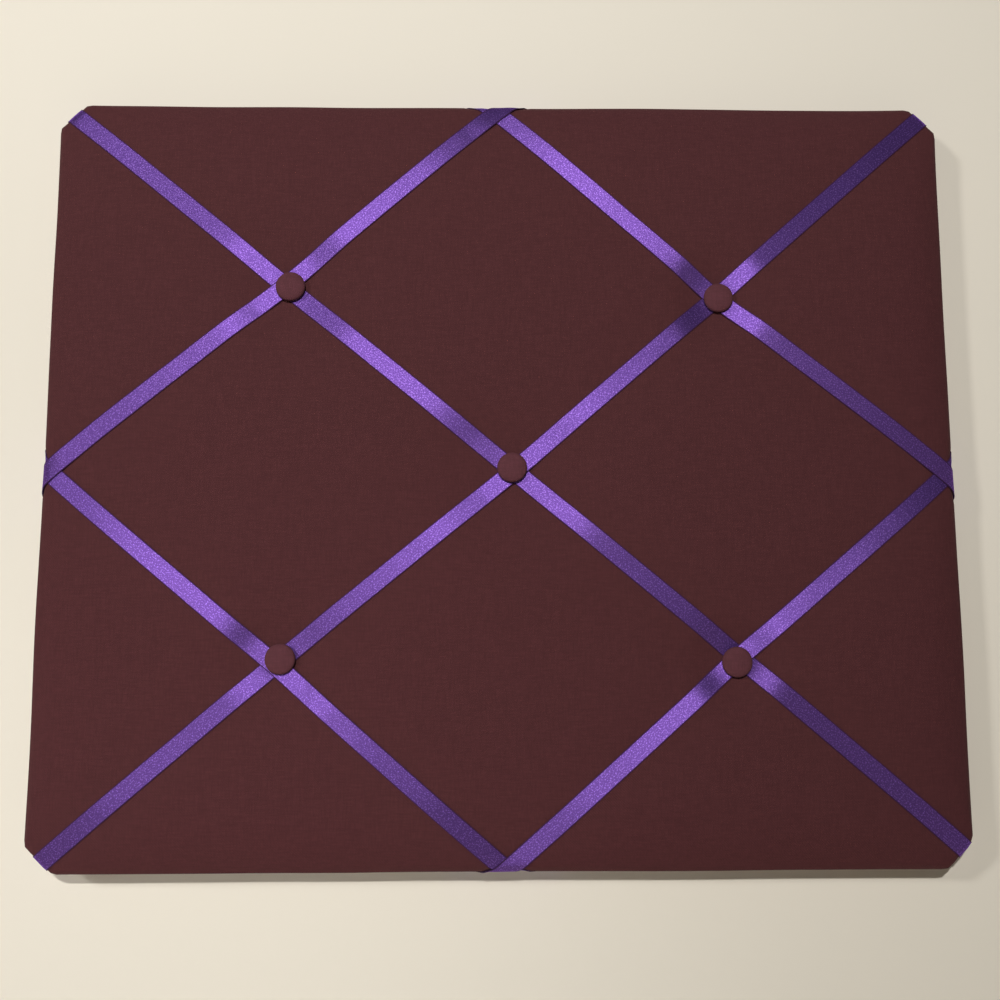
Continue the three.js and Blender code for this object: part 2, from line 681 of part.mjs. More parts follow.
// Panel: a flat board with through bores for the threads, blind holes for screws and staples, and
// one whole triangle about the origin on its back
function panelGeometry() {
  const skin = new Skin();
  const screwHoles = [-1, 1].map((hand) =>
    polygon(SCREW_R + FIT, HOLE_SIDES, plan(hand * HANGER_X, ORIGIN_Z - SCREW_DROP), hand / HOLE_SIDES));
  const legR = (Math.hypot(STAPLE_T, STAPLE_WIDE) / 2 + FIT) / Math.cos(Math.PI / WIRE_SIDES);
  const legHoles = STAPLES.flatMap(legsOf).map((leg, k) => polygon(legR, WIRE_SIDES, leg, k / BORE_SIDES));
  const bores = BUTTONS.map(({ place }, k) => polygon(PANEL_BORE_R, BORE_SIDES, place, k / BORE_SIDES));
  const landing = polygon(LANDING_R, 3, plan(0, ORIGIN_Z), Math.PI / 2);

  const loopAt = (points, height) => ({ points, ids: points.map((p) => skin.add(p.x, height, p.y)) });
  const face = (edge, holes, towardsFront) => {
    const all = [edge, ...holes].flatMap(({ ids }) => ids);
    const where = [edge, ...holes].flatMap(({ points }) => points);
    THREE.ShapeUtils.triangulateShape(edge.points, holes.map(({ points }) => points)).forEach(([a, b, c]) => {
      const turn = where[b].clone().sub(where[a]).cross(where[c].clone().sub(where[a]));
      const order = turn > 0 === towardsFront ? [a, b, c] : [a, c, b];
      skin.triangle(...order.map((k) => all[k]));
    });
  };
  const wall = (front, back, facesOut) => {
    front.ids.forEach((id, k) => {
      const next = (k + 1) % front.ids.length;
      const turn = THREE.ShapeUtils.area(front.points) > 0 === facesOut;
      const [a, b] = turn ? [k, next] : [next, k];
      skin.triangle(front.ids[a], back.ids[a], back.ids[b]);
      skin.triangle(front.ids[a], back.ids[b], front.ids[b]);
    });
  };

  const frontEdge = loopAt(outline(PANEL_IN), PANEL_T);
  const backEdge = loopAt(outline(PANEL_IN), 0);
  const frontBores = bores.map((bore) => loopAt(bore, PANEL_T));
  const backBores = bores.map((bore) => loopAt(bore, 0));
  const blind = [...screwHoles, ...legHoles]
    .map((hole) => ({ mouth: loopAt(hole, 0), floor: loopAt(hole, BLIND_DEPTH) }));
  const spot = loopAt(landing, 0);
  face(frontEdge, frontBores, true);
  face(backEdge, [...backBores, ...blind.map(({ mouth }) => mouth), spot], false);
  face(spot, [], false);
  wall(frontEdge, backEdge, true);
  bores.forEach((_, k) => wall(frontBores[k], backBores[k], false));
  blind.forEach(({ mouth, floor }) => {
    wall(floor, mouth, false);
    face(floor, [], false);
  });
  return skin.geometry();
}

// Covered button, in its own frame: turned about Y, with Y forward from the rear lip
function domeProfile(radius, edge, top, inset) {
  const points = [];
  for (let k = 0; k <= DOME_STEPS; k += 1) {
    const share = k / DOME_STEPS;
    points.push(plan((radius - inset) * Math.sin((share * Math.PI) / 2),
      edge + (top - inset - edge) * Math.cos((share * Math.PI) / 2)));
  }
  points[0].x = 0;
  return points;
}

function buttonCoverGeometry() {
  const outer = domeProfile(BUTTON_R, BUTTON_EDGE_H, BUTTON_H, 0);
  const inner = domeProfile(BUTTON_R, BUTTON_EDGE_H, BUTTON_H, BUTTON_CLOTH_T).reverse();
  const lip = BUTTON_R - BUTTON_LIP;
  const profile = [
    ...outer, plan(BUTTON_R, BUTTON_CLOTH_T), plan(BUTTON_R - BUTTON_CLOTH_T, 0), plan(lip, 0),
    plan(lip, BUTTON_CLOTH_T), plan(BUTTON_R - BUTTON_CLOTH_T, BUTTON_CLOTH_T), ...inner,
  ];
  return new THREE.LatheGeometry(profile.reverse(), DOME_SIDES);
}

function buttonShellGeometry() {
  const gap = BUTTON_CLOTH_T + FIT;
  const outer = domeProfile(BUTTON_R, BUTTON_EDGE_H, BUTTON_H, gap);
  const inner = domeProfile(BUTTON_R, BUTTON_EDGE_H, BUTTON_H, gap + BUTTON_SHELL_T).reverse();
  const rim = [plan(BUTTON_R - gap, PLATE_BACK), plan(BUTTON_R - gap - BUTTON_SHELL_T, PLATE_BACK)];
  return new THREE.LatheGeometry([...outer, ...rim, ...inner].reverse(), SHELL_SIDES);
}

function buttonPlateGeometry() {
  const radius = (BUTTON_R - BUTTON_CLOTH_T - FIT - BUTTON_SHELL_T) * Math.cos(Math.PI / SHELL_SIDES) - FIT;
  const holes = [-1, 1].map((hand) => polygon(SHANK_WIRE_R + FIT, WIRE_SIDES, plan(hand * SHANK_R, 0)));
  return extrude(polygon(radius, SHELL_SIDES), holes, BUTTON_PLATE_T)
    .rotateX(-Math.PI / 2).translate(0, PLATE_BACK, 0);
}

function buttonShankGeometry() {
  const top = PLATE_BACK + BUTTON_PLATE_T;
  const bend = arcPoints(space(0, SHANK_END + SHANK_R, 0), space(SHANK_R, 0, 0), space(0, -SHANK_R, 0),
    ARC_STEPS, Math.PI);
  return wire([space(SHANK_R, top, 0), ...bend, space(-SHANK_R, top, 0)], SHANK_WIRE_R);
}

function buttonThreadGeometry(button) {
  const knotY = -(button.rim + FIT + ANCHOR_T + FIT + KNOT_HALF_Y);
  const bend = arcPoints(space(0, SHANK_END, 0), space(0, 0, BEND_R), space(0, BEND_R, 0), ARC_STEPS, Math.PI);
  const strands = wire([space(0, knotY, BEND_R), ...bend, space(0, knotY, -BEND_R)], THREAD_R);
  const knot = new THREE.SphereGeometry(1, HOLE_SIDES, WIRE_SIDES)
    .scale(KNOT_HALF_X, KNOT_HALF_Y, KNOT_HALF_Z).translate(0, knotY, 0);
  return join(strands, knot);
}

function anchorGeometry() {
  const holes = [-1, 1].map((hand) => polygon(THREAD_R + FIT, HOLE_SIDES, plan(0, hand * BEND_R)));
  return extrude(polygon(ANCHOR_R, SHELL_SIDES), holes, ANCHOR_T).rotateX(Math.PI / 2);
}

// Hangers, about the axis of the ring
function strapGeometry() {
  const meet = Math.asin((STRAP_BACK - PIVOT_Y) / EYE_OUT);
  const folded = new THREE.Shape();
  folded.moveTo(-STRAP_L, FIT);
  folded.lineTo(0, FIT);
  folded.absarc(0, PIVOT_Y, EYE_OUT, -Math.PI / 2, Math.PI - meet);
  folded.lineTo(-STRAP_L, STRAP_BACK);
  folded.holes = [new THREE.Path(polygon(EYE_R, BORE_SIDES, plan(0, PIVOT_Y)))];
  const flat = { bevelEnabled: false, curveSegments: ARC_STEPS };
  const strip = new THREE.ExtrudeGeometry(folded, { depth: STRAP_W, ...flat })
    .rotateY(-Math.PI / 2).translate(STRAP_W / 2, 0, 0);
  const half = STRAP_W / 2;
  const rounded = new THREE.Shape();
  rounded.moveTo(half, EYE_OUT + FIT);
  rounded.lineTo(-half, EYE_OUT + FIT);
  rounded.lineTo(-half, STRAP_END_R - STRAP_L);
  rounded.absarc(STRAP_END_R - half, STRAP_END_R - STRAP_L, STRAP_END_R, Math.PI, Math.PI * 1.5);
  rounded.absarc(half - STRAP_END_R, STRAP_END_R - STRAP_L, STRAP_END_R, Math.PI * 1.5, Math.PI * 2);
  const depth = PIVOT_Y + EYE_OUT + FIT;
  const blank = new THREE.ExtrudeGeometry(rounded, { depth, ...flat })
    .rotateX(Math.PI / 2).translate(0, depth, 0);
  const screwHole = new THREE.CylinderGeometry(SCREW_R + FIT, SCREW_R + FIT, 2 * depth, BORE_SIDES)
    .translate(0, 0, -SCREW_DROP);
  return cut(common(strip, blank), [screwHole]);
}

function ringGeometry() {
  const corner = RING_CORNER_R;
  const bar = RING_HALF_W - corner;
  const quarter = ARC_STEPS / 2;
  const right = (length) => space(length, 0, 0);
  const up = (length) => space(0, 0, length);
  return wire([
    right(RING_BUTT / 2),
    ...arcPoints(space(bar, 0, -corner), up(corner), right(corner), quarter),
    ...arcPoints(up(-RING_LEG), right(RING_HALF_W), up(-RING_HALF_W), 2 * ARC_STEPS, Math.PI),
    ...arcPoints(space(-bar, 0, -corner), right(-corner), up(corner), quarter),
    right(-RING_BUTT / 2),
  ], RING_WIRE_R);
}

function screwGeometry() {
  const seat = STRAP_BACK + FIT;
  const profile = [
    plan(0, -SCREW_IN), plan(SCREW_R, SCREW_R - SCREW_IN), plan(SCREW_R, seat), plan(SCREW_HEAD_R, seat),
    plan(SCREW_HEAD_R, seat + SCREW_RIM_H),
    plan(SCREW_HEAD_R * Math.SQRT1_2, seat + SCREW_RIM_H + (SCREW_HEAD_H - SCREW_RIM_H) * Math.SQRT1_2),
    plan(0, seat + SCREW_HEAD_H),
  ];
  const slot = (x, z) => new THREE.BoxGeometry(x, 2 * SCREW_SLOT_DEPTH, z).translate(0, seat + SCREW_HEAD_H, 0);
  return cut(new THREE.LatheGeometry(profile, BORE_SIDES), [
    slot(SCREW_HEAD_R, SCREW_SLOT_W), slot(SCREW_SLOT_W, SCREW_HEAD_R),
  ]);
}

// The board, in a group whose middle is the middle of the outline
const memoBoard = new THREE.Group();
memoBoard.name = 'french_memo_board';
const board = new THREE.Group();
board.position.z = -ORIGIN_Z;
memoBoard.add(board);

function addPiece(parent, name, geometry, material) {
  const mesh = new THREE.Mesh(geometry, material);
  mesh.name = name;
  parent.add(mesh);
  return mesh;
}

const throughHoles = BUTTONS.map(sewingHole);
const legCutters = STAPLES.flatMap((staple) => legsOf(staple).map((leg) => legCutter(staple, leg)));
addPiece(board, 'backing_board', panelGeometry(), FIBREBOARD);
addPiece(board, 'wadding', cut(waddingGeometry(), throughHoles), POLYESTER_WADDING);
addPiece(board, 'cloth_cover', cut(clothGeometry(), [...throughHoles, ...legCutters]), BROWN_CLOTH);
RIBBONS.forEach((ribbon) => addPiece(board, ribbon.name, ribbonGeometry(ribbon), PURPLE_SATIN));

STAPLES.forEach((staple) => {
  const mesh = addPiece(board, staple.name, stapleGeometry(), STEEL_WIRE);
  mesh.position.set(staple.place.x, STAPLE_SEAT, staple.place.y);
  mesh.rotation.y = stapleTurn(staple);
});

BUTTONS.forEach((button) => {
  const { name, place, rim } = button;
  const sewnOn = new THREE.Group();
  sewnOn.position.set(place.x, -rim, place.y);
  sewnOn.rotation.x = Math.PI;
  board.add(sewnOn);
  addPiece(sewnOn, `button_cover_${name}`, buttonCoverGeometry(), BROWN_CLOTH);
  addPiece(sewnOn, `button_shell_${name}`, buttonShellGeometry(), PRESSED_ALUMINIUM);
  addPiece(sewnOn, `button_back_${name}`, buttonPlateGeometry(), PRESSED_ALUMINIUM);
  addPiece(sewnOn, `button_shank_${name}`, buttonShankGeometry(), STEEL_WIRE);
  addPiece(sewnOn, `button_thread_${name}`, buttonThreadGeometry(button), WAXED_THREAD);
  const anchor = addPiece(board, `anchor_button_${name}`, anchorGeometry(), PALE_PLASTIC);
  anchor.position.set(place.x, FIT + ANCHOR_T, place.y);
});

[['left', -1], ['right', 1]].forEach(([name, hand]) => {
  const hanger = new THREE.Group();
  hanger.position.x = hand * HANGER_X;
  memoBoard.add(hanger);
  addPiece(hanger, `hanger_strap_${name}`, strapGeometry(), NICKEL_PLATE);
  const ring = addPiece(hanger, `d_ring_${name}`, ringGeometry(), NICKEL_PLATE);
  ring.position.y = PIVOT_Y;
  ring.rotation.x = RING_TILT;
  const screw = addPiece(hanger, `hanger_screw_${name}`, screwGeometry(), NICKEL_PLATE);
  screw.position.z = -SCREW_DROP;
});

export default memoBoard;
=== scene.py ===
# %% [markdown]
# # French memo board
# A french memo board is a panel padded with wadding and covered with cloth. Satin ribbons cross its
# front, and a covered button is sewn through the panel where they meet. Notes are pushed under the
# ribbons, so no pins are needed.
#
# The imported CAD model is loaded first. It is a fixed frame: hard pieces stay as they are and only
# get a finish, and soft pieces are modelled again here, in the same place.

# %% Load the frame
import math
import random

import bpy
import numpy as np
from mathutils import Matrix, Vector, noise
from mathutils.bvhtree import BVHTree


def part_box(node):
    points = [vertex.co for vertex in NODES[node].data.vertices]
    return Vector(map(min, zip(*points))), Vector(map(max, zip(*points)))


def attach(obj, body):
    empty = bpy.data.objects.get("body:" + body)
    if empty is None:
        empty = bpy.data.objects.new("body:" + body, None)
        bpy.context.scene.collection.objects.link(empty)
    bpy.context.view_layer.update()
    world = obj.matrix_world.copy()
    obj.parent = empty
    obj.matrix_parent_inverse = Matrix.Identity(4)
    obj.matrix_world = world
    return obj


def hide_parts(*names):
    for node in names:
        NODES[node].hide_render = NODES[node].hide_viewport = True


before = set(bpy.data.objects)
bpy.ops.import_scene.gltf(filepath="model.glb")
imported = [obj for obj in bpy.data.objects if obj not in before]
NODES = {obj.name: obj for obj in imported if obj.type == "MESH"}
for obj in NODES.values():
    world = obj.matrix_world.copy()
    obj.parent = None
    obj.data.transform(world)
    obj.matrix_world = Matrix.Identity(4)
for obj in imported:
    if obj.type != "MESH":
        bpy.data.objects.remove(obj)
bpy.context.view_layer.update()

MM = 0.001
COVER_LOW, COVER_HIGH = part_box("cloth_cover")
BOARD_MIDDLE = (COVER_LOW[2] + COVER_HIGH[2]) / 2

# %% [markdown]
# ## Camera
# The picture was taken with a phone held a little below the middle of the board and tipped up. That
# makes the bottom edge longer than the top one. The place and tilt were worked out from the four
# corners of the board in the picture, for a lens that is typical of phones.

# %% Camera
SENSOR = 36.0
FOCAL_SHARE = 1.090  # focal length over the width of the picture
CAMERA_PLACE = (-0.0107, -0.5818, BOARD_MIDDLE - 0.0867)
CAMERA_TURN = (97.258, 0.119, -0.987)
NEAREST_SEEN = 0.01

bpy.ops.object.camera_add(location=CAMERA_PLACE, rotation=[math.radians(a) for a in CAMERA_TURN])
camera = bpy.context.object
camera.name = "picture_camera"
camera.data.sensor_width = SENSOR
camera.data.lens = FOCAL_SHARE * SENSOR
camera.data.clip_start = NEAREST_SEEN
bpy.context.scene.camera = camera
bpy.context.scene.view_settings.view_transform = "Standard"
print("lens in mm:", round(camera.data.lens, 2))

# %% [markdown]
# ## Materials as node trees
# A material is a small tree of nodes that ends in a shader. One function adds a node, sets it and
# links it, and one turns the hex colours of a colour picker into the linear values that light
# calculations need.

# %% Helpers for materials
def linear(hex_colour):
    """Linear red, green, blue and alpha of an sRGB hex colour such as #8a2be2."""
    parts = [int(hex_colour[i:i + 2], 16) / 255 for i in (1, 3, 5)]
    bent = [c / 12.92 if c <= 0.04045 else ((c + 0.055) / 1.055) ** 2.4 for c in parts]
    return (*bent, 1.0)


def add_node(tree, kind, links=None, **settings):
    """Adds a node. A link is a socket of another node, or a value for the socket itself."""
    made = tree.nodes.new(kind)
    for name, value in settings.items():
        setattr(made, name, value)
    for socket, value in (links or {}).items():
        if isinstance(value, bpy.types.NodeSocket):
            tree.links.new(value, made.inputs[socket])
        else:
            made.inputs[socket].default_value = value
    return made


def new_material(name, **sockets):
    """A material with one plain shader, whose sockets are given with _ for a space."""
    made = bpy.data.materials.new(name)
    made.use_nodes = True
    tree = made.node_tree
    tree.nodes.clear()
    links = {key.replace("_", " "): value for key, value in sockets.items()}
    surface = add_node(tree, "ShaderNodeBsdfPrincipled", links)
    add_node(tree, "ShaderNodeOutputMaterial", {"Surface": surface.outputs["BSDF"]})
    return made, tree, surface


print("red #ff0000 in linear light:", linear("#ff0000"))

# %% [markdown]
# ## Wall and floor
# The board hangs on a pale wall, a few millimetres off it because of its hangers. The wall only
# shows from the front: from behind its back face lets everything through, and it stops no light, so
# the back of the board can be looked at too. Rolled-on paint leaves a very fine grain.

# %% Wall and floor
WALL_GAP = 6.5 * MM
WALL_SIZE = 4.0
FLOOR_Z = -1.3
FLOOR_SIZE = 6.0
ROLLER_GRAIN = 4 * MM
ROLLER_DEPTH = 0.2 * MM

paint, tree, surface = new_material("wall_paint", Base_Color=linear("#efe7d7"), Roughness=0.85)
place = add_node(tree, "ShaderNodeTexCoord")
grain = add_node(tree, "ShaderNodeTexNoise", {
    "Vector": place.outputs["Object"], "Scale": 1 / ROLLER_GRAIN, "Detail": 3.0
})
bump = add_node(tree, "ShaderNodeBump", {
    "Height": grain.outputs["Fac"], "Strength": 0.05, "Distance": ROLLER_DEPTH
})
tree.links.new(bump.outputs["Normal"], surface.inputs["Normal"])
seen_side = add_node(tree, "ShaderNodeNewGeometry")
clear = add_node(tree, "ShaderNodeBsdfTransparent")
one_sided = add_node(tree, "ShaderNodeMixShader", {
    0: seen_side.outputs["Backfacing"], 1: surface.outputs["BSDF"], 2: clear.outputs["BSDF"]
})
output = next(n for n in tree.nodes if n.bl_idname == "ShaderNodeOutputMaterial")
tree.links.new(one_sided.outputs["Shader"], output.inputs["Surface"])

bpy.ops.mesh.primitive_plane_add(
    size=WALL_SIZE, location=(0, WALL_GAP, BOARD_MIDDLE), rotation=(math.radians(90), 0, 0)
)
wall = bpy.context.object
wall.name = "wall"
wall.visible_shadow = False
bpy.ops.mesh.primitive_plane_add(size=FLOOR_SIZE, location=(0, 0, FLOOR_Z))
floor = bpy.context.object
floor.name = "floor"
for staged in (wall, floor):
    staged.data.materials.append(paint)
print("wall", round(WALL_GAP / MM, 1), "mm behind the panel")

# %% [markdown]
# ## Light
# A small lamp hangs above, in front of the board. It throws the clear shadow under the bottom edge,
# and it stands where the ribbons mirror it, so it gives the satin its gleam. A lamp at the left
# throws the faint shadow at the right. A narrow beam from the lower left fills the shadow under
# that corner and is left out of the gloss. One behind the wall only lights the board's back, and
# weak light comes from all round.

# %% Lamps
LAMPS = {
    # name: place, where it is aimed, size of the square lamp, spread of its beam in degrees, watts
    "key_lamp": ((-0.13, -1.5, 0.29), (-0.4, 0.0, 0.37), 0.06, 171, 14.9),
    "side_lamp": ((-1.4, -1.5, 0.4), (0.0, 0.0, BOARD_MIDDLE), 0.2, 180, 10.0),
    "fill_lamp": ((-0.64, -0.8, -0.65), (-0.28, 0.0, -0.49), 0.6, 25, 0.22),
    "back_lamp": ((0.9, 1.6, 0.5), (0.0, 0.0, BOARD_MIDDLE), 1.2, 180, 26.0),
}
ROOM_LIGHT = 0.03
for name, (at, target, size, spread, watts) in LAMPS.items():
    aim = Vector(target) - Vector(at)
    bpy.ops.object.light_add(type="AREA", location=at, rotation=aim.to_track_quat("-Z", "Y").to_euler())
    lamp = bpy.context.object
    lamp.name = name
    lamp.data.size = size
    lamp.data.spread = math.radians(spread)
    lamp.data.energy = watts
    lamp.visible_glossy = name != "fill_lamp"

air = bpy.data.worlds.new("room_light")
bpy.context.scene.world = air
air.use_nodes = True
air.node_tree.nodes.clear()
glow = add_node(air.node_tree, "ShaderNodeBackground", {
    "Color": linear("#fffcf7"), "Strength": ROOM_LIGHT
})
add_node(air.node_tree, "ShaderNodeOutputWorld", {"Surface": glow.outputs["Background"]})
print("lamps:", ", ".join(LAMPS))

# %% [markdown]
# ## Working by hand in code
# Blender's operators act on what is selected, and the loaded frame is selected all over. So each
# step first puts one object in hand, and chooses the edges or faces it needs by where they are.

# %% Helpers for modelling
def take(piece):
    """Puts one object in hand: only it is selected and active."""
    if bpy.context.object and bpy.context.object.mode != "OBJECT":
        bpy.ops.object.mode_set(mode="OBJECT")
    bpy.ops.object.select_all(action="DESELECT")
    piece.select_set(True)
    bpy.context.view_layer.objects.active = piece


def settle(name):
    """Names the new object in hand and moves its place, turn and size into its mesh."""
    piece = bpy.context.object
    piece.name = name
    piece.data.name = name
    take(piece)
    bpy.ops.object.transform_apply(location=True, rotation=True, scale=True)
    return piece


def choose(piece, test):
    """Goes to edit mode with the faces chosen whose middle and normal pass the test."""
    take(piece)
    bpy.ops.object.mode_set(mode="EDIT")
    bpy.ops.mesh.select_mode(type="FACE")
    bpy.ops.mesh.select_all(action="DESELECT")
    bpy.ops.object.mode_set(mode="OBJECT")
    for face in piece.data.polygons:
        face.select = test(face.center, face.normal)
    bpy.ops.object.mode_set(mode="EDIT")


def modify(piece, kind, **settings):
    """Adds a modifier, sets it and applies it."""
    take(piece)
    bpy.ops.object.modifier_add(type=kind)
    added = piece.modifiers[-1]
    for name, value in settings.items():
        setattr(added, name, value)
    bpy.ops.object.modifier_apply(modifier=added.name)


def triangles(piece):
    return sum(len(face.vertices) - 2 for face in piece.data.polygons)


def ease(share):
    """Goes from 0 to 1 with a soft start and a soft end."""
    share = min(1.0, max(0.0, share))
    return share * share * (3 - 2 * share)


print("halfway eased:", ease(0.5))

# %% [markdown]
# ## Where the ribbons run
# The lattice was set out by hand, so no button sits exactly on its grid point, and the ribbons do
# not cross exactly under the buttons. The buttons' places come from the CAD model. Each ribbon runs
# from one side of the outline, under one or three buttons, to another side. The outline has eight
# sides, because the corners are cut off. A side is followed clockwise, along the line where the
# front begins to roll. Each side keeps where its ribbons pass over the roll, as a middle and half a
# length along the side.

# %% The lattice
RIBBON = 10 * MM            # width of the ribbons
ROLL = 3 * MM               # radius of the padded edge
HALF_W = (COVER_HIGH[0] - COVER_LOW[0]) / 2
HALF_H = (COVER_HIGH[2] - COVER_LOW[2]) / 2
FRONT_W = HALF_W - ROLL
FRONT_H = HALF_H - ROLL
COLUMNS, ROWS = 71, 60      # cells of the cover's front
CUT_CELLS = 2               # a corner is cut across this many cells
CUT_X = 2 * FRONT_W / COLUMNS * CUT_CELLS
CUT_Z = 2 * FRONT_H / ROWS * CUT_CELLS

SIDE_AIMS = {
    # where a side's ribbons cross or end, in mm: along it from its middle, and out past its line
    "top": (-2.4, -2.2), "corner_top_right": (-1.8, 0.0),
    "right": (1.1, -2.1), "corner_bottom_right": (-3.4, 0.0),
    "bottom": (-2.3, 1.4), "corner_bottom_left": (-2.5, 0.0),
    "left": (0.3, -1.1), "corner_top_left": (1.0, 0.0),
}
STRAYS = {
    # how far off its button two ribbons cross, in mm to the right and up
    "top_left": (-2.8, 0.8), "top_right": (-1.1, 0.2), "centre": (1.1, -1.5),
    "bottom_left": (-2.8, -2.8), "bottom_right": (1.6, 2.5),
}
RIBBONS = {
    # name: from, under these buttons, to, and where it lies on top
    "ribbon_falling": (
        "corner_top_left", ("top_left", "centre", "bottom_right"), "corner_bottom_right", ()
    ),
    "ribbon_rising": (
        "corner_bottom_left", ("bottom_left", "centre", "top_right"), "corner_top_right", ("centre",)
    ),
    "ribbon_top_left": ("left", ("top_left",), "top", ("top_left", "left", "top")),
    "ribbon_top_right": ("top", ("top_right",), "right", ("top_right", "right")),
    "ribbon_bottom_right": ("right", ("bottom_right",), "bottom", ("bottom_right", "bottom")),
    "ribbon_bottom_left": ("bottom", ("bottom_left",), "left", ("bottom_left",)),
}


def plan_centre(node):
    """Middle of a CAD node seen from the front, as x and z."""
    lowest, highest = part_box(node)
    return np.array([(lowest[0] + highest[0]) / 2, (lowest[2] + highest[2]) / 2])


BUTTONS = {name: plan_centre(f"button_cover_{name}") for name in STRAYS}
ring = [
    np.array([x, z + BOARD_MIDDLE])
    for x, z in (
        (CUT_X - FRONT_W, FRONT_H), (FRONT_W - CUT_X, FRONT_H),
        (FRONT_W, FRONT_H - CUT_Z), (FRONT_W, CUT_Z - FRONT_H),
        (FRONT_W - CUT_X, -FRONT_H), (CUT_X - FRONT_W, -FRONT_H),
        (-FRONT_W, CUT_Z - FRONT_H), (-FRONT_W, FRONT_H - CUT_Z),
    )
]
SIDES = {}
for k, (name, (shift, past)) in enumerate(SIDE_AIMS.items()):
    start, end = ring[k], ring[(k + 1) % len(ring)]
    along = (end - start) / np.linalg.norm(end - start)
    out = np.array([-along[1], along[0]])
    middle = (start + end) / 2
    SIDES[name] = {
        "middle": middle, "along": along, "out": out,
        "aim": middle + along * shift * MM + out * past * MM, "passes": [],
    }
CROSSINGS = {name: BUTTONS[name] + np.array(stray) * MM for name, stray in STRAYS.items()}
CROSSINGS.update({name: side["aim"] for name, side in SIDES.items()})
ROUTES = {
    name: [CROSSINGS[stop] for stop in (start, *under, end)]
    for name, (start, under, end, _) in RIBBONS.items()
}
for name, (start, _, end, _) in RIBBONS.items():
    route = ROUTES[name]
    for side, tip, inner in ((SIDES[start], route[0], route[1]), (SIDES[end], route[-1], route[-2])):
        way = (tip - inner) / np.linalg.norm(tip - inner)
        rate = float(way @ side["out"])
        to_edge = ROLL * math.pi / 4 - float((tip - side["middle"]) @ side["out"])
        passed = tip + way * to_edge / rate - side["middle"]
        side["passes"].append((float(passed @ side["along"]), RIBBON / 2 / rate))
print("ribbons on the front in mm:", {
    name: round(sum(np.linalg.norm(b - a) for a, b in zip(route, route[1:])) / MM)
    for name, route in ROUTES.items()
})

# %% [markdown]
# ## The padded cover
# The cover is one piece of cotton pulled over wadding, with its hem turned to the back. A grid of
# flat cells is its front, and the four corners are cut off it.

# %% Front sheet with cut corners
EDGE_Y = -16.6 * MM         # front face of the cloth along the edge
BACK_Y = COVER_HIGH[1]      # back face of the hem

bpy.ops.object.select_all(action="DESELECT")
bpy.ops.mesh.primitive_grid_add(
    x_subdivisions=COLUMNS, y_subdivisions=ROWS, size=1,
    location=(0, EDGE_Y, BOARD_MIDDLE), rotation=(math.radians(90), 0, 0),
)
bpy.context.object.scale = (2 * FRONT_W, 2 * FRONT_H, 1)
cover = settle("padded_cover")
for left_right in (-1, 1):
    for up_down in (-1, 1):
        choose(cover, lambda centre, normal: True)
        bpy.ops.mesh.bisect(
            plane_co=(left_right * (FRONT_W - CUT_X), EDGE_Y, BOARD_MIDDLE + up_down * FRONT_H),
            plane_no=Vector((left_right * CUT_Z, 0, up_down * CUT_X)).normalized(),
            clear_outer=True,
        )
bpy.ops.object.mode_set(mode="OBJECT")
cell = 2 * FRONT_W / COLUMNS
print("front sheet:", len(cover.data.polygons), "cells of", round(cell / MM, 2), "mm")

# %% [markdown]
# The open edge of the sheet is extruded ring by ring: first round the roll, then down the side,
# over the eased back edge and in along the hem. Each new ring is moved back and scaled to its
# distance from the outline. The edges that run round the cut corners are creased, so that smoothing
# leaves the corners crisp.

# %% Roll, sides and hem
ROLL_STEPS = 5
BACK_BEND = 1.5 * MM
BEND_MIDDLE = 0.3 * BACK_BEND     # how far the middle of a round bend lies from both faces
HEM = 32 * MM
SIDE_SHARES = (0.33, 0.67, 1.0)
HEM_INSETS = (8 * MM, 16 * MM, 24 * MM, HEM)
CORNER_CREASE = 0.32
CORNER_NEAR = math.radians(0.3)
FRONT_NEAR = 0.01 * MM

section = [(ROLL, EDGE_Y)]
for k in range(1, ROLL_STEPS + 1):
    turn = k / ROLL_STEPS * math.pi / 2
    section.append((ROLL * (1 - math.sin(turn)), EDGE_Y + ROLL * (1 - math.cos(turn))))
side_top, side_end = EDGE_Y + ROLL, BACK_Y - BACK_BEND
section += [(0.0, side_top + share * (side_end - side_top)) for share in SIDE_SHARES]
section.append((BEND_MIDDLE, BACK_Y - BEND_MIDDLE))
section.append((BACK_BEND, BACK_Y))
section += [(inset, BACK_Y) for inset in HEM_INSETS]

corner_turns = [math.atan2((z - BOARD_MIDDLE) / FRONT_H, x / FRONT_W) for x, z in ring]


def on_corner(point):
    """True on the eight lines that run round the edge from the corners of the front."""
    turn = math.atan2((point.z - BOARD_MIDDLE) / FRONT_H, point.x / FRONT_W)
    return any(abs(turn - corner) < CORNER_NEAR for corner in corner_turns)


take(cover)
bpy.ops.object.mode_set(mode="EDIT")
bpy.ops.mesh.select_mode(type="EDGE")
bpy.ops.mesh.select_all(action="DESELECT")
bpy.ops.mesh.select_non_manifold(
    use_wire=False, use_boundary=True, use_multi_face=False, use_non_contiguous=False, use_verts=False
)
for (inset, y), (next_inset, next_y) in zip(section, section[1:]):
    bpy.ops.mesh.extrude_region_move(TRANSFORM_OT_translate={"value": (0, next_y - y, 0)})
    bpy.ops.transform.resize(
        value=((HALF_W - next_inset) / (HALF_W - inset), 1, (HALF_H - next_inset) / (HALF_H - inset)),
        center_override=(0, next_y, BOARD_MIDDLE),
    )
bpy.ops.mesh.select_all(action="SELECT")
bpy.ops.mesh.normals_make_consistent(inside=False)
bpy.ops.mesh.select_all(action="DESELECT")
bpy.ops.object.mode_set(mode="OBJECT")
for edge in cover.data.edges:
    places = [cover.data.vertices[k].co for k in edge.vertices]
    edge.select = max(p.y for p in places) > EDGE_Y + FRONT_NEAR and all(on_corner(p) for p in places)
creased = sum(edge.select for edge in cover.data.edges)
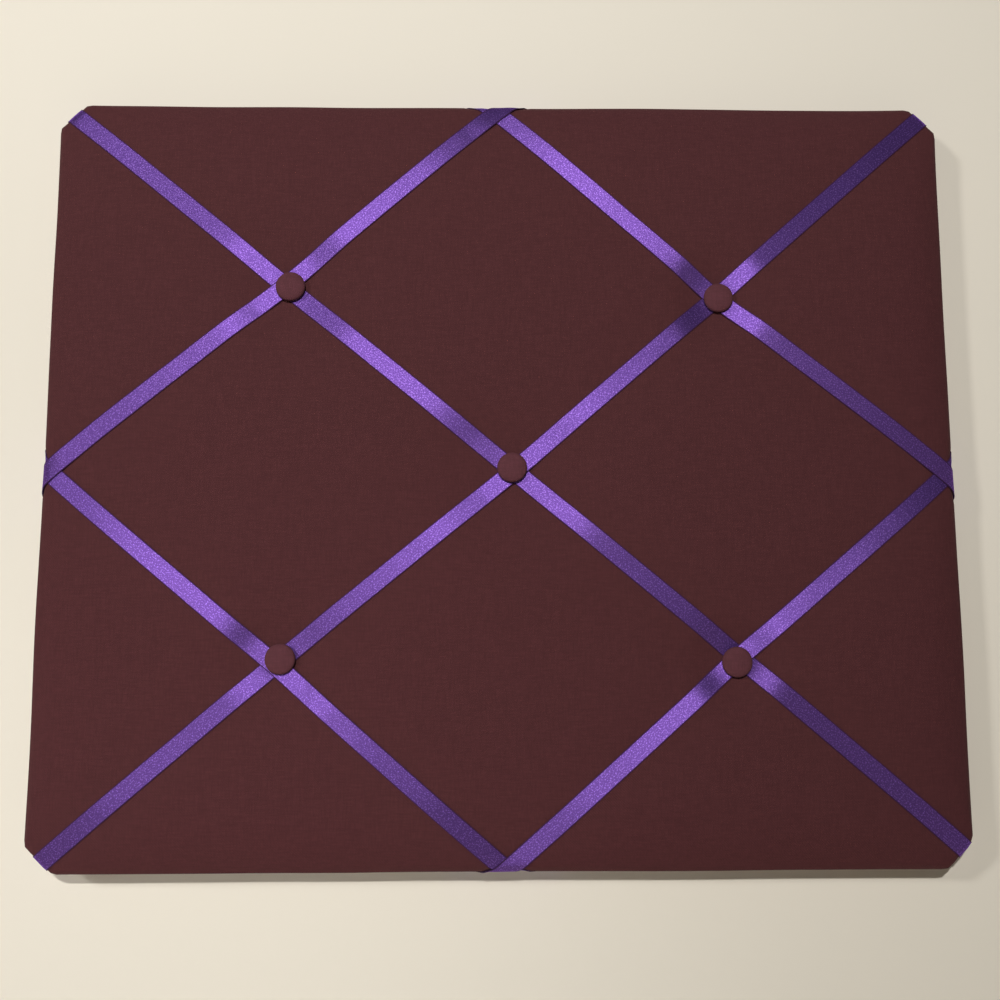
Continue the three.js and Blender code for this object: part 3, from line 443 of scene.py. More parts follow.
bpy.ops.object.mode_set(mode="EDIT")
bpy.ops.transform.edge_crease(value=CORNER_CREASE)
bpy.ops.object.mode_set(mode="OBJECT")
print(creased, "edges creased at the corners")
front_face = next(f for f in cover.data.polygons if f.center.y < EDGE_Y + FRONT_NEAR)
print("cover:", len(cover.data.polygons), "faces, front normal in y", round(front_face.normal.y, 2))

# %% [markdown]
# Wadding lifts the front, so that it falls away in a soft shoulder towards every edge. Each button
# draws in a dip that is flat under the button and rises smoothly around it.

# %% Crown and dips
CROWN = 4.2 * MM
SHOULDER = 38 * MM        # from the edge to where the front is level
DIP = 3.8 * MM
DIP_SEAT = 8 * MM
DIP_REACH = {             # some buttons are drawn tighter than others, and their dips are shorter
    "top_left": 42 * MM, "top_right": 28 * MM, "centre": 56 * MM,
    "bottom_left": 36 * MM, "bottom_right": 28 * MM,
}


def to_button(x, z):
    """Distance in plan to the nearest button."""
    return min(math.hypot(x - b[0], z - b[1]) for b in BUTTONS.values())


def rise(far):
    """From 0 at an edge, steep at first, to 1 where the front is level."""
    return 1 - max(0.0, 1 - far / SHOULDER) ** 2


def front_height(x, z):
    """How far the cloth's front stands forward of its edge, before it swells."""
    crown = CROWN * rise(FRONT_W - abs(x)) * rise(FRONT_H - abs(z - BOARD_MIDDLE))
    drawn = max(
        ease((reach - math.hypot(x - BUTTONS[name][0], z - BUTTONS[name][1])) / (reach - DIP_SEAT))
        for name, reach in DIP_REACH.items()
    )
    return crown - DIP * drawn


for point in cover.data.vertices:
    if point.co.y < EDGE_Y + ROLL:
        point.co.y -= front_height(point.co.x, point.co.z)
print("front of the cover at y", round(min(p.co.y for p in cover.data.vertices) / MM, 2), "mm")

# %% [markdown]
# Now the wadding swells. A cloth simulation blows the cover up a little from inside, while the
# ribbons, the buttons and the sides hold it. No point may move further than a cap, because the
# ribbons are tight.

# %% Swell
HOLD_RIBBON = 5 * MM
HOLD_BUTTON = 13 * MM
HOLD_SIDE = EDGE_Y + 0.8 * ROLL
SWELL_CAP = 1.3 * MM
SWELL_STEPS = 20
STILL = 1e-9               # keeps a point that did not move from a division by zero


def off_route(x, z):
    """Distance in plan from the nearest ribbon's middle line."""
    nearest = math.inf
    p = np.array([x, z])
    for route in ROUTES.values():
        for a, b in zip(route, route[1:]):
            run = b - a
            share = min(1.0, max(0.0, float((p - a) @ run / (run @ run))))
            nearest = min(nearest, float(np.linalg.norm(p - a - share * run)))
    return nearest


held = cover.vertex_groups.new(name="held")
for point in cover.data.vertices:
    x, y, z = point.co
    if y > HOLD_SIDE or to_button(x, z) < HOLD_BUTTON or off_route(x, z) < HOLD_RIBBON:
        held.add([point.index], 1.0, "REPLACE")

before = np.array([p.co for p in cover.data.vertices])
take(cover)
bpy.ops.object.modifier_add(type="CLOTH")
cloth = cover.modifiers[-1]
cloth.settings.vertex_group_mass = "held"
cloth.settings.quality = 5
cloth.settings.tension_stiffness = 15
cloth.settings.compression_stiffness = 15
cloth.settings.bending_stiffness = 0.5
cloth.settings.use_pressure = True
cloth.settings.uniform_pressure_force = 4
cloth.settings.effector_weights.gravity = 0
cloth.collision_settings.use_collision = False
for step in range(1, SWELL_STEPS + 1):
    bpy.context.scene.frame_set(step)
bpy.ops.object.modifier_apply(modifier=cloth.name)
after = np.array([p.co for p in cover.data.vertices])
moved = after - before
length = np.linalg.norm(moved, axis=1)
usual, most = float(np.median(length)), float(length.max())
print("swell in mm: middle", round(usual / MM, 2), "most", round(most / MM, 2))
capped = before + moved * np.minimum(1.0, SWELL_CAP / np.maximum(length, STILL))[:, None]
cover.data.vertices.foreach_set("co", capped.astype(np.float32).ravel())
cover.data.update()

# %% [markdown]
# Cloth pulled over an edge by hand is never quite straight. The outline waves by half a millimetre
# and is drawn in where a ribbon is pulled over it. On the back the hem is pleated at the corners, a
# little wavy, and its cut edge wanders.

# %% Wavy outline, pleats and hem
WAVE = 0.5 * MM
WAVE_LENGTH = 55 * MM
WAVE_LEAN = 0.4            # the outline waves inwards more than outwards
PINCH = 0.7 * MM
PINCH_RUN = 5 * MM
PINCH_MOST = 1.5
EDGE_BAND = 12 * MM
PLEAT = 0.6 * MM
PLEAT_HALF = 9 * MM
PLEAT_EASE = 2.5 * MM
HEM_WAVE = 0.15 * MM
HEM_WANDER = 1.5 * MM
HEM_LENGTH = 30 * MM
HEM_NEAR = 0.2 * MM        # what lies this close to the back face is hem
HEM_EDGE = 0.9 * HEM
WAVE_LAYER, HEM_LAYER = 0.3, 0.7    # where the noise is cut for the outline and for the hem
CLOTH = 0.6 * MM

modify(cover, "SUBSURF", levels=1, render_levels=1)
for point in cover.data.vertices:
    x, y, z = point.co
    p = np.array([x, z])
    inset, side = min(
        ((float((s["middle"] - p) @ s["out"]) + ROLL, s) for s in SIDES.values()),
        key=lambda pair: pair[0],
    )
    ripple = noise.noise(Vector((x, HEM_LAYER, z)) / HEM_LENGTH)
    if y > BACK_Y - HEM_NEAR and inset > 2 * BACK_BEND:
        off_diagonal = abs((HALF_W - abs(x)) - (HALF_H - abs(z - BOARD_MIDDLE))) / math.sqrt(2)
        point.co.y += PLEAT * ease((PLEAT_HALF - off_diagonal) / PLEAT_EASE) + HEM_WAVE * (1 + ripple)
        if inset > HEM_EDGE:
            point.co.x += side["out"][0] * HEM_WANDER * ripple
            point.co.z += side["out"][1] * HEM_WANDER * ripple
    elif inset < EDGE_BAND:
        near = ease(1 - inset / EDGE_BAND)
        wave = noise.noise(Vector((x, WAVE_LAYER, z)) / WAVE_LENGTH) - WAVE_LEAN
        far = float((p - side["middle"]) @ side["along"])
        pull = sum(ease((half - abs(far - at)) / PINCH_RUN + 1) for at, half in side["passes"])
        shift = side["out"] * near * (WAVE * wave - PINCH * min(pull, PINCH_MOST))
        point.co.x += shift[0]
        point.co.z += shift[1]

skin = BVHTree.FromPolygons(
    [p.co.copy() for p in cover.data.vertices], [tuple(f.vertices) for f in cover.data.polygons]
)
modify(cover, "SOLIDIFY", thickness=CLOTH, offset=-1)
take(cover)
bpy.ops.object.shade_smooth()
print("cover:", triangles(cover), "triangles")

# %% [markdown]
# ## Brown cotton
# The cloth is a plain-weave cotton, dyed dark chocolate brown and quite matt. Loose fibre ends give
# it a weak sheen where it is seen at a slant. Its real threads are about 0.25 mm apart, too fine
# for the picture, so they are drawn at 0.7 mm. The weave is worked out three times, for surfaces
# facing each way, and mixed by the surface's direction, so that it runs on round the edges. Slubs,
# thicker bits of yarn, mottle the dye. On the buttons the same cotton is painted a little paler and
# pinker: painted light for the domed cloth, which catches more of the lamps.

# %% Cotton material
THREAD = 0.7 * MM
THREAD_DEPTH = 0.12 * MM
SLUB = (6 * MM, 0.8 * MM)
SLUB_NOISE = (0.12, 0.42)  # from no slub to a full one

cotton, tree, surface = new_material(
    "plain_weave_cotton", Roughness=0.8, Specular_IOR_Level=0.1,
    Sheen_Weight=0.08, Sheen_Roughness=0.5, Sheen_Tint=linear("#e6b4b6"),
)
place = add_node(tree, "ShaderNodeTexCoord")
axes = add_node(tree, "ShaderNodeSeparateXYZ", {"Vector": place.outputs["Object"]})
facing = add_node(tree, "ShaderNodeSeparateXYZ", {"Vector": place.outputs["Normal"]})
threads = {}
for axis in "XYZ":
    turn = add_node(tree, "ShaderNodeMath", {
        0: axes.outputs[axis], 1: math.pi / THREAD
    }, operation="MULTIPLY")
    threads[axis] = add_node(tree, "ShaderNodeMath", {0: turn.outputs[0]}, operation="SINE")
weave = None
for first, second, third in ("XZY", "YZX", "XYZ"):
    crossed = add_node(tree, "ShaderNodeMath", {
        0: threads[first].outputs[0], 1: threads[second].outputs[0]
    }, operation="MULTIPLY")
    toward = add_node(tree, "ShaderNodeMath", {0: facing.outputs[third]}, operation="ABSOLUTE")
    weave = add_node(tree, "ShaderNodeMath", {
        0: crossed.outputs[0], 1: toward.outputs[0], 2: weave.outputs[0] if weave else 0.0
    }, operation="MULTIPLY_ADD")
slubs = []
for across, up in (SLUB, SLUB[::-1]):
    stretched = add_node(tree, "ShaderNodeMapping", {
        "Vector": place.outputs["Object"], "Scale": (1 / across, 1 / across, 1 / up)
    })
    slubs.append(add_node(tree, "ShaderNodeTexNoise", {
        "Vector": stretched.outputs["Vector"], "Scale": 1.0, "Detail": 2.0
    }))
mottled = add_node(tree, "ShaderNodeMath", {
    0: slubs[0].outputs["Fac"], 1: slubs[1].outputs["Fac"]
}, operation="MULTIPLY")
shade = add_node(tree, "ShaderNodeMapRange", {
    "Value": mottled.outputs[0], "From Min": SLUB_NOISE[0], "From Max": SLUB_NOISE[1]
})
dye = add_node(tree, "ShaderNodeMix", {
    "Factor": shade.outputs["Result"], "A": linear("#4c282a"), "B": linear("#542d2f")
}, data_type="RGBA", name="dye")
bump = add_node(tree, "ShaderNodeBump", {
    "Height": weave.outputs[0], "Strength": 0.25, "Distance": THREAD_DEPTH
})
tree.links.new(dye.outputs["Result"], surface.inputs["Base Color"])
tree.links.new(bump.outputs["Normal"], surface.inputs["Normal"])
cover.data.materials.append(cotton)
# The buttons' copy has its two dye colours painted paler and pinker, as painted light.
button_cotton_painted_lighter = cotton.copy()
button_cotton_painted_lighter.name = "plain_weave_cotton_painted_lighter"
button_painted_light_dye = button_cotton_painted_lighter.node_tree.nodes["dye"]
button_painted_light_dye.inputs["A"].default_value = linear("#583237")
button_painted_light_dye.inputs["B"].default_value = linear("#61373e")

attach(cover, "board")
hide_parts("cloth_cover", "wadding")
print("cover rides on the board")

# %% [markdown]
# ## Satin ribbons
# Each ribbon is a flat strip, 10 mm wide, that is pulled tight over the front, folded over the edge
# and stapled to the back. Pulled straight, a ribbon stays straight when the edge is opened out
# flat, so it is made as a flat strip first. Its points are then laid on the cover: on the front as
# they are, past the edge round the roll, down the side and in on the back. A ray finds the cloth
# under each point, so the strip follows every swell and dip. Simulation would only blur such a
# narrow strip.

# %% Helpers for the ribbons
TAIL_IN = 26 * MM         # a ribbon ends this far in on the back
TURN_RUN = 12 * MM        # a ribbon turns to its new direction over this length at a button
RAY_START = 4 * MM
RAY_LENGTH = 8 * MM

roll_run = ROLL * math.pi / 2
side_run = side_end - side_top
bend_run = BACK_BEND * math.sqrt(2)
FOLD_RUN = roll_run + side_run + bend_run + TAIL_IN - BACK_BEND


def round_the_edge(distance):
    """Place past the front's edge line: how far out, its y, and how the surface faces, out and in y."""
    if distance < roll_run:
        turn = distance / ROLL
        out, back = math.sin(turn), -math.cos(turn)
        return ROLL * out, EDGE_Y + ROLL * (1 + back), out, back
    distance -= roll_run
    if distance < side_run:
        return ROLL, side_top + distance, 1.0, 0.0
    distance -= side_run
    if distance < bend_run:
        step = distance / math.sqrt(2)
        return ROLL - step, side_end + step, math.sqrt(0.5), math.sqrt(0.5)
    return ROLL - BACK_BEND - (distance - bend_run), BACK_Y, 0.0, 1.0


def on_cover(point, ends):
    """Place and outward direction on the cover of a point of the opened-out plan."""
    foot, y, facing = point, EDGE_Y - front_height(*point), Vector((0, -1, 0))
    for end in ends:
        past = float((point - end["middle"]) @ end["out"])
        if past > 0:
            far, y, outward, back = round_the_edge(past)
            foot = point + end["out"] * (far - past)
            facing = Vector((end["out"][0] * outward, back, end["out"][1] * outward))
    at = Vector((foot[0], y, foot[1]))
    hit = skin.ray_cast(at + facing * RAY_START, -facing, RAY_LENGTH)[0]
    return hit or at, facing


def along_route(route, far):
    """Point and direction at a distance along a route, which runs straight on past both ends."""
    marks = np.cumsum([0, *(np.linalg.norm(b - a) for a, b in zip(route, route[1:]))])
    leg = min(len(route) - 2, max(0, int(np.searchsorted(marks, far)) - 1))
    ways = [(b - a) / np.linalg.norm(b - a) for a, b in zip(route, route[1:])]
    way = ways[leg]
    for k in range(1, len(route) - 1):
        share = (far - marks[k]) / TURN_RUN + 0.5
        if 0 < share < 1:
            way = ways[k - 1] * (1 - share) + ways[k] * share
    return route[leg] + ways[leg] * (far - marks[leg]), way / np.linalg.norm(way)


def run_of(route, ends):
    """Where a strip starts and ends along its route, as values and their lean across the strip."""
    length = sum(np.linalg.norm(b - a) for a, b in zip(route, route[1:]))
    tips = []
    for end, base, outward in ((ends[0], 0.0, -1), (ends[1], length, 1)):
        point, way = along_route(route, base)
        rate = float(way @ end["out"]) * outward
        past = float((point - end["middle"]) @ end["out"])
        lean = float(np.array([-way[1], way[0]]) @ end["out"])
        tips.append((base + outward * (FOLD_RUN - past) / rate, -outward * lean / rate))
    return tips


print("length of a fold round the edge in mm:", round(FOLD_RUN / MM, 1))

# %% [markdown]
# The strip starts as a grid primitive. Its own UV map is kept in metres, along and across the
# ribbon, so that the satin's pattern follows it round every fold. The two selvedges, the woven
# edges, are a little thicker than the rest, and between them the ribbon is very slightly arched.

# %% Lay the ribbons
RIBBON_T = 0.35 * MM
RIBBON_LIFT = 0.12 * MM   # clear of the cloth
OVER_LIFT = 0.6 * MM      # more where it lies on another ribbon
OVER_FLAT = 7 * MM
OVER_END = 22 * MM
RIBBON_STEP = 1.2 * MM
ACROSS = 10
ARCH = 0.10 * MM
SELVEDGE_RISE = 0.06 * MM
SELVEDGE_FROM = 0.9       # of the way from the middle to the side
FLUTTER = 0.10 * MM
FLUTTER_RUN = 26 * MM
FLUTTER_BASE = 0.5        # added to the noise, so that a ribbon lifts more than it sinks
FLUTTER_LAYER = 3.1
SHARP = math.radians(40)  # edges that bend more than this stay sharp

ribbon_pieces = {}
for name, (start, under, end, over) in RIBBONS.items():
    route = ROUTES[name]
    ends = (SIDES[start], SIDES[end])
    (first, first_lean), (last, last_lean) = run_of(route, ends)
    cut = last - first
    steps = round(cut / RIBBON_STEP)
    bpy.ops.mesh.primitive_grid_add(x_subdivisions=steps, y_subdivisions=ACROSS, size=1)
    strip = settle(name + "_satin")
    places = []
    for point in strip.data.vertices:
        share = point.co.x + 0.5
        across = point.co.y * RIBBON
        far = (first + first_lean * across) * (1 - share) + (last + last_lean * across) * share
        middle, way = along_route(route, far)
        flat = middle + np.array([-way[1], way[0]]) * across
        crossed = [np.linalg.norm(flat - CROSSINGS[crossing]) for crossing in over]
        raised = max((ease((OVER_END - off) / (OVER_END - OVER_FLAT)) for off in crossed), default=0)
        edge = abs(2 * point.co.y)
        arch = ARCH * (1 - edge ** 2) + (SELVEDGE_RISE if edge > SELVEDGE_FROM else 0)
        drift = noise.noise(Vector((far / FLUTTER_RUN, len(name), FLUTTER_LAYER)))
        flutter = FLUTTER * (drift + FLUTTER_BASE)
        at, facing = on_cover(flat, ends)
        point.co = at + facing * (RIBBON_LIFT + OVER_LIFT * raised + arch + flutter)
        places.append((far, across))
    strip_uv = strip.data.uv_layers[0].data
    for loop in strip.data.loops:
        strip_uv[loop.index].uv = places[loop.vertex_index]
    modify(strip, "SOLIDIFY", thickness=RIBBON_T, offset=1)
    take(strip)
    bpy.ops.object.shade_smooth_by_angle(angle=SHARP)
    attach(strip, "board")
    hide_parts(name)
    ribbon_pieces[name] = strip
    print(name, "cut length in mm", round(cut / MM), "triangles", triangles(strip))

# %% [markdown]
# ## Purple satin
# Polyester satin ribbon: long floats of shiny dyed yarn lie side by side along its length, so the
# gleam spreads across the ribbon and stays narrower along it. That is anisotropic gloss, turned by
# the ribbon's own UV map. The dye colours what the floats mirror, as a metal colours it, so most of
# the gloss is given by the metallic value. Uneven floats break it into sparkle. They are about 0.2
# mm wide on a real ribbon and drawn at 0.6 mm here. Along each side a selvedge band is rougher and
# not metallic, and it is painted dark: painted shade for the shadow lines along the ribbon's edges.

# %% Satin material
FLOAT = (0.9 * MM, 0.6 * MM)
RIB = 0.5 * MM
SELVEDGE_SHADE_BAND = 0.5 * MM
MIRROR_SHARE = 0.83
FLOAT_DEPTH = 0.06 * MM
FLOAT_NOISE = (0.3, 0.7)      # from the dullest float to the glossiest
FLOAT_ROUGH = (0.62, 0.57)
SPARKLE_NOISE = (0.52, 0.68)  # from no sparkle to the brightest
RIB_SHARE = 0.1
SELVEDGE_MATT = 0.4

satin, tree, surface = new_material(
    "purple_polyester_satin", Anisotropic=0.96, Anisotropic_Rotation=0.25, IOR=1.6,
    Specular_Tint=linear("#b08cff"),
)
place = add_node(tree, "ShaderNodeUVMap")
strip_axes = add_node(tree, "ShaderNodeSeparateXYZ", {"Vector": place.outputs["UV"]})
floats = add_node(tree, "ShaderNodeMapping", {
    "Vector": place.outputs["UV"], "Scale": (1 / FLOAT[0], 1 / FLOAT[1], 1.0)
})
glint = add_node(tree, "ShaderNodeTexNoise", {
    "Vector": floats.outputs["Vector"], "Scale": 1.0, "Detail": 1.0
})
rib_turn = add_node(tree, "ShaderNodeMath", {
    0: strip_axes.outputs["X"], 1: 2 * math.pi / RIB
}, operation="MULTIPLY")
rib = add_node(tree, "ShaderNodeMath", {0: rib_turn.outputs[0]}, operation="SINE")
relief = add_node(tree, "ShaderNodeMath", {
    0: rib.outputs[0], 1: RIB_SHARE, 2: glint.outputs["Fac"]
}, operation="MULTIPLY_ADD")
bump = add_node(tree, "ShaderNodeBump", {
    "Height": relief.outputs[0], "Strength": 1.0, "Distance": FLOAT_DEPTH
})
gloss = add_node(tree, "ShaderNodeMapRange", {
    "Value": glint.outputs["Fac"], "From Min": FLOAT_NOISE[0], "From Max": FLOAT_NOISE[1],
    "To Min": FLOAT_ROUGH[0], "To Max": FLOAT_ROUGH[1],
})
tangent = add_node(tree, "ShaderNodeTangent", direction_type="UV_MAP")
from_middle = add_node(tree, "ShaderNodeMath", {0: strip_axes.outputs["Y"]}, operation="ABSOLUTE")
at_edge = add_node(tree, "ShaderNodeMath", {
    0: from_middle.outputs[0], 1: RIBBON / 2 - SELVEDGE_SHADE_BAND
}, operation="GREATER_THAN")
sparkle = add_node(tree, "ShaderNodeMapRange", {
    "Value": glint.outputs["Fac"], "From Min": SPARKLE_NOISE[0], "From Max": SPARKLE_NOISE[1]
})
yarn = add_node(tree, "ShaderNodeMix", {
    "Factor": sparkle.outputs["Result"], "A": linear("#825ab6"), "B": linear("#b98af2")
}, data_type="RGBA")
# The selvedge band's dark colour is painted shade along the ribbon's edges.
yarn_and_painted_edge_shade = add_node(tree, "ShaderNodeMix", {
    "Factor": at_edge.outputs[0], "A": yarn.outputs["Result"], "B": linear("#3c2040")
}, data_type="RGBA")
matt = add_node(tree, "ShaderNodeMath", {
    0: at_edge.outputs[0], 1: SELVEDGE_MATT, 2: gloss.outputs["Result"]
}, operation="MULTIPLY_ADD")
mirrored = add_node(tree, "ShaderNodeMath", {
    0: at_edge.outputs[0], 1: -MIRROR_SHARE, 2: MIRROR_SHARE
}, operation="MULTIPLY_ADD")
for socket, source in (
    ("Base Color", yarn_and_painted_edge_shade.outputs["Result"]), ("Roughness", matt.outputs[0]),
    ("Metallic", mirrored.outputs[0]), ("Normal", bump.outputs["Normal"]),
    ("Tangent", tangent.outputs["Tangent"]),
):
    tree.links.new(source, surface.inputs[socket])
for strip in ribbon_pieces.values():
    strip.data.materials.append(satin)
print("satin on", len(ribbon_pieces), "ribbons")

# %% [markdown]
# ## Covered buttons
# A covered button is a pressed shell with a disc of the same cotton drawn over it and tucked in
# behind. It is turned like a small flat dome: a ring is extruded and drawn in, step by step, from
# the tucked edge round the rim to the middle. Where the cloth is gathered at the rim it puckers a
# little.

# %% Turn one button
GATHERS = 26
GATHER = 0.10 * MM
GATHER_TOP = 2.4 * MM
GATHER_INSIDE = 5 * MM
PUCKER = 0.6               # share of a gather that comes and goes round the rim
PUCKER_TURNS = 3
CAP_SIDES = 104
CAP = 0.4 * MM
DOME = (
    # radius and height above the rim, in mm
    (5.6, 0.25), (6.9, 0.05), (7.45, 0.3), (7.72, 0.8), (7.8, 1.4), (7.68, 2.0),
    (7.3, 2.5), (6.6, 2.88), (5.6, 3.16), (4.3, 3.42), (2.8, 3.6), (1.3, 3.69), (0.3, 3.7),
)


def rim_of(name):
    """Middle of the plane that a button's rear rim lies in."""
    return Vector((BUTTONS[name][0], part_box(f"button_cover_{name}")[1][1], BUTTONS[name][1]))


rim_place = rim_of("centre")
bpy.ops.object.select_all(action="DESELECT")
bpy.ops.mesh.primitive_circle_add(
    vertices=CAP_SIDES, radius=DOME[0][0] * MM, rotation=(math.radians(90), 0, 0),
    location=rim_place - Vector((0, DOME[0][1] * MM, 0)),
)
cap = settle("button_centre_cotton")
bpy.ops.object.mode_set(mode="EDIT")
bpy.ops.mesh.select_mode(type="VERT")
bpy.ops.mesh.select_all(action="SELECT")
for (radius, height), (next_radius, next_height) in zip(DOME, DOME[1:]):
    forward = (0, (height - next_height) * MM, 0)
    bpy.ops.mesh.extrude_region_move(TRANSFORM_OT_translate={"value": forward})
    narrower = next_radius / radius
    bpy.ops.transform.resize(value=(narrower, 1, narrower), center_override=rim_place)
bpy.ops.mesh.merge(type="CENTER")
bpy.ops.mesh.select_all(action="SELECT")
bpy.ops.mesh.normals_make_consistent(inside=False)
bpy.ops.object.mode_set(mode="OBJECT")
for point in cap.data.vertices:
    from_axis = Vector((point.co.x - rim_place.x, 0, point.co.z - rim_place.z))
    low_down = ease(1 - (rim_place.y - point.co.y) / GATHER_TOP)
    angle = math.atan2(from_axis.z, from_axis.x)
    uneven = noise.noise(Vector((PUCKER_TURNS * math.cos(angle), PUCKER_TURNS * math.sin(angle), 0)))
    pleat = math.sin(GATHERS * angle) + PUCKER * uneven
    if from_axis.length > GATHER_INSIDE:
        point.co += from_axis.normalized() * GATHER * low_down * pleat
modify(cap, "SOLIDIFY", thickness=CAP, offset=-1)
take(cap)
bpy.ops.object.shade_smooth()
cap.data.materials.append(button_cotton_painted_lighter)
print("button:", triangles(cap), "triangles")

# %% [markdown]
# The other four buttons are copies with meshes of their own, moved to their crossings.

# %% Copy the button to the other crossings
for name in BUTTONS:
    piece = cap
    if name != "centre":
        take(cap)
        bpy.ops.object.duplicate()
        bpy.ops.transform.translate(value=rim_of(name) - rim_place)
        piece = settle(f"button_{name}_cotton")
    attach(piece, "board")
    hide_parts(f"button_cover_{name}")
print("buttons at", {name: [round(float(c) / MM, 1) for c in at] for name, at in BUTTONS.items()})

# %% [markdown]
# ## Staples along the hem
# Wire staples hold the hem to the back of the panel, one about every 45 mm, as a staple gun leaves
# them: not quite in line. A block becomes the crown of one staple, and two of its lower faces are
# drawn down into legs. Places where a ribbon's tail lies on the hem stay free.

# %% Hem staples
STAPLE = (10.5 * MM, 0.55 * MM, 1.2 * MM)
STAPLE_LEG = 0.5 * MM
STAPLE_INSET = 24 * MM
STAPLE_PITCH = 45 * MM
STAPLE_FREE = 11 * MM
STAPLE_SKEW = 6.0         # degrees
STAPLE_STRAY = 3          # mm along the side
STAPLE_WANDER = 2         # mm in from the outline
STAPLE_SEED = 4
STAPLE_EASE = 0.15 * MM
DOWNWARD = -0.9           # y of the normal of a face that looks to the panel

bpy.ops.object.select_all(action="DESELECT")
bpy.ops.mesh.primitive_cube_add(size=1, scale=STAPLE)
staple = settle("hem_staple")
leg_start = STAPLE[0] / 2 - STAPLE[1]
for hand in (-1, 1):
    choose(staple, lambda centre, normal: True)
    bpy.ops.mesh.bisect(plane_co=(hand * leg_start, 0, 0), plane_no=(1, 0, 0))
choose(staple, lambda centre, normal: normal.y < DOWNWARD and abs(centre.x) > leg_start)
bpy.ops.mesh.extrude_region_move(TRANSFORM_OT_translate={"value": (0, -STAPLE_LEG, 0)})
bpy.ops.object.mode_set(mode="OBJECT")
modify(staple, "BEVEL", width=STAPLE_EASE, segments=2, limit_method="ANGLE")

tails = np.array([
    (p.co.x, p.co.z) for strip in ribbon_pieces.values() for p in strip.data.vertices if p.co.y > BACK_Y
])
chance = random.Random(STAPLE_SEED)
copies = []
for side in (SIDES[name] for name in ("top", "right", "bottom", "left")):
    half = (HALF_W if side["out"][0] == 0 else HALF_H) - STAPLE_INSET
    count = round(2 * half / STAPLE_PITCH)
    for k in range(count + 1):
        far = (k / count * 2 - 1) * half + chance.uniform(-STAPLE_STRAY, STAPLE_STRAY) * MM
        inset = STAPLE_INSET + chance.uniform(-STAPLE_WANDER, STAPLE_WANDER) * MM
        x, z = side["middle"] + side["out"] * (ROLL - inset) + side["along"] * far
        skew = math.radians(chance.uniform(-STAPLE_SKEW, STAPLE_SKEW))
        near_tail = np.min(np.hypot(tails[:, 0] - x, tails[:, 1] - z)) < STAPLE_FREE
        near_corner = abs(far) > half - STAPLE_FREE
        if near_tail or near_corner:
            continue
        hit = skin.ray_cast(Vector((x, BACK_Y + RAY_START, z)), Vector((0, -1, 0)), RAY_LENGTH)[0]
        take(staple)
        bpy.ops.object.duplicate()
        turn = math.atan2(side["along"][1], side["along"][0]) + skew
        bpy.ops.transform.rotate(value=turn, orient_axis="Y", center_override=(0, 0, 0))
        bpy.ops.transform.translate(value=(x, hit.y + STAPLE[1] / 2, z))
        copies.append(settle(f"hem_staple_{len(copies)}"))
bpy.data.objects.remove(staple)
bpy.ops.object.select_all(action="DESELECT")
for copy in copies:
    copy.select_set(True)
bpy.context.view_layer.objects.active = copies[0]
bpy.ops.object.join()
hem_staples = settle("hem_staples")
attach(hem_staples, "board")
print(len(copies), "hem staples,", triangles(hem_staples), "triangles")

# %% [markdown]
# ## Metals
# Three metals show on the back or sit inside the buttons: zinc-grey steel wire of the staples and
# shanks, bright nickel plate of the hangers, and pressed aluminium of the button shells. Each has a
# roughness that varies in streaks, from rolling and handling, and fine scratches. Scratches are
# drawn wider than real ones, so that they show at all.

# %% Metal materials
METALS = {
    # name: colour, lowest and highest roughness, streak length and width in mm
    "zinc_plated_steel_wire": ("#b4b6b8", 0.28, 0.46, (3.0, 0.3)),
    "nickel_plate": ("#d2ccbf", 0.16, 0.34, (5.0, 0.4)),
    "pressed_aluminium": ("#c9cbcd", 0.34, 0.52, (2.0, 0.5)),
}
STREAK_NOISE = (0.3, 0.7)
STREAK_DEPTH = 0.05 * MM

metals = {}
for name, (colour, smooth, rough, (streak_length, streak_width)) in METALS.items():
    made, tree, surface = new_material(name, Base_Color=linear(colour), Metallic=1.0)
    place = add_node(tree, "ShaderNodeTexCoord")
    streaks = add_node(tree, "ShaderNodeMapping", {
        "Vector": place.outputs["Object"],
        "Scale": (1 / (streak_length * MM), 1 / (streak_width * MM), 1 / (streak_width * MM)),
    })
    worn = add_node(tree, "ShaderNodeTexNoise", {
        "Vector": streaks.outputs["Vector"], "Scale": 1.0, "Detail": 3.0
    })
    polish = add_node(tree, "ShaderNodeMapRange", {
        "Value": worn.outputs["Fac"], "From Min": STREAK_NOISE[0], "From Max": STREAK_NOISE[1],
        "To Min": smooth, "To Max": rough,
    })
    bump = add_node(tree, "ShaderNodeBump", {
        "Height": worn.outputs["Fac"], "Strength": 0.15, "Distance": STREAK_DEPTH
    })
    tree.links.new(polish.outputs["Result"], surface.inputs["Roughness"])
    tree.links.new(bump.outputs["Normal"], surface.inputs["Normal"])
    metals[name] = made
hem_staples.data.materials.clear()
hem_staples.data.materials.append(metals["zinc_plated_steel_wire"])
print("metals:", ", ".join(metals))

# %% [markdown]
# ## Fibreboard, plastic and thread
# Fibreboard is pressed from fine wood fibres: light brown and matt, with short darker fibres lying
# every way. The flat buttons on the back are pale cast plastic with a soft gloss and faint clouds.
# The sewing thread is waxed and twisted from strands. The slanting stripes of light and dark that
# the twist shows are painted into its colour as painted light and shade, over a matching bump.

# %% Fibreboard, plastic and thread materials
FIBRE = (5 * MM, 0.5 * MM)
FIBRE_NOISE = (0.12, 0.4)  # from the darkest fibre to the palest
FIBRE_DEPTH = 0.2 * MM
CLOUD = 3 * MM
TWIST = 0.7 * MM
TWIST_DEPTH = 0.1 * MM
TWIST_LEAN = (0.0, math.radians(30), math.radians(35))

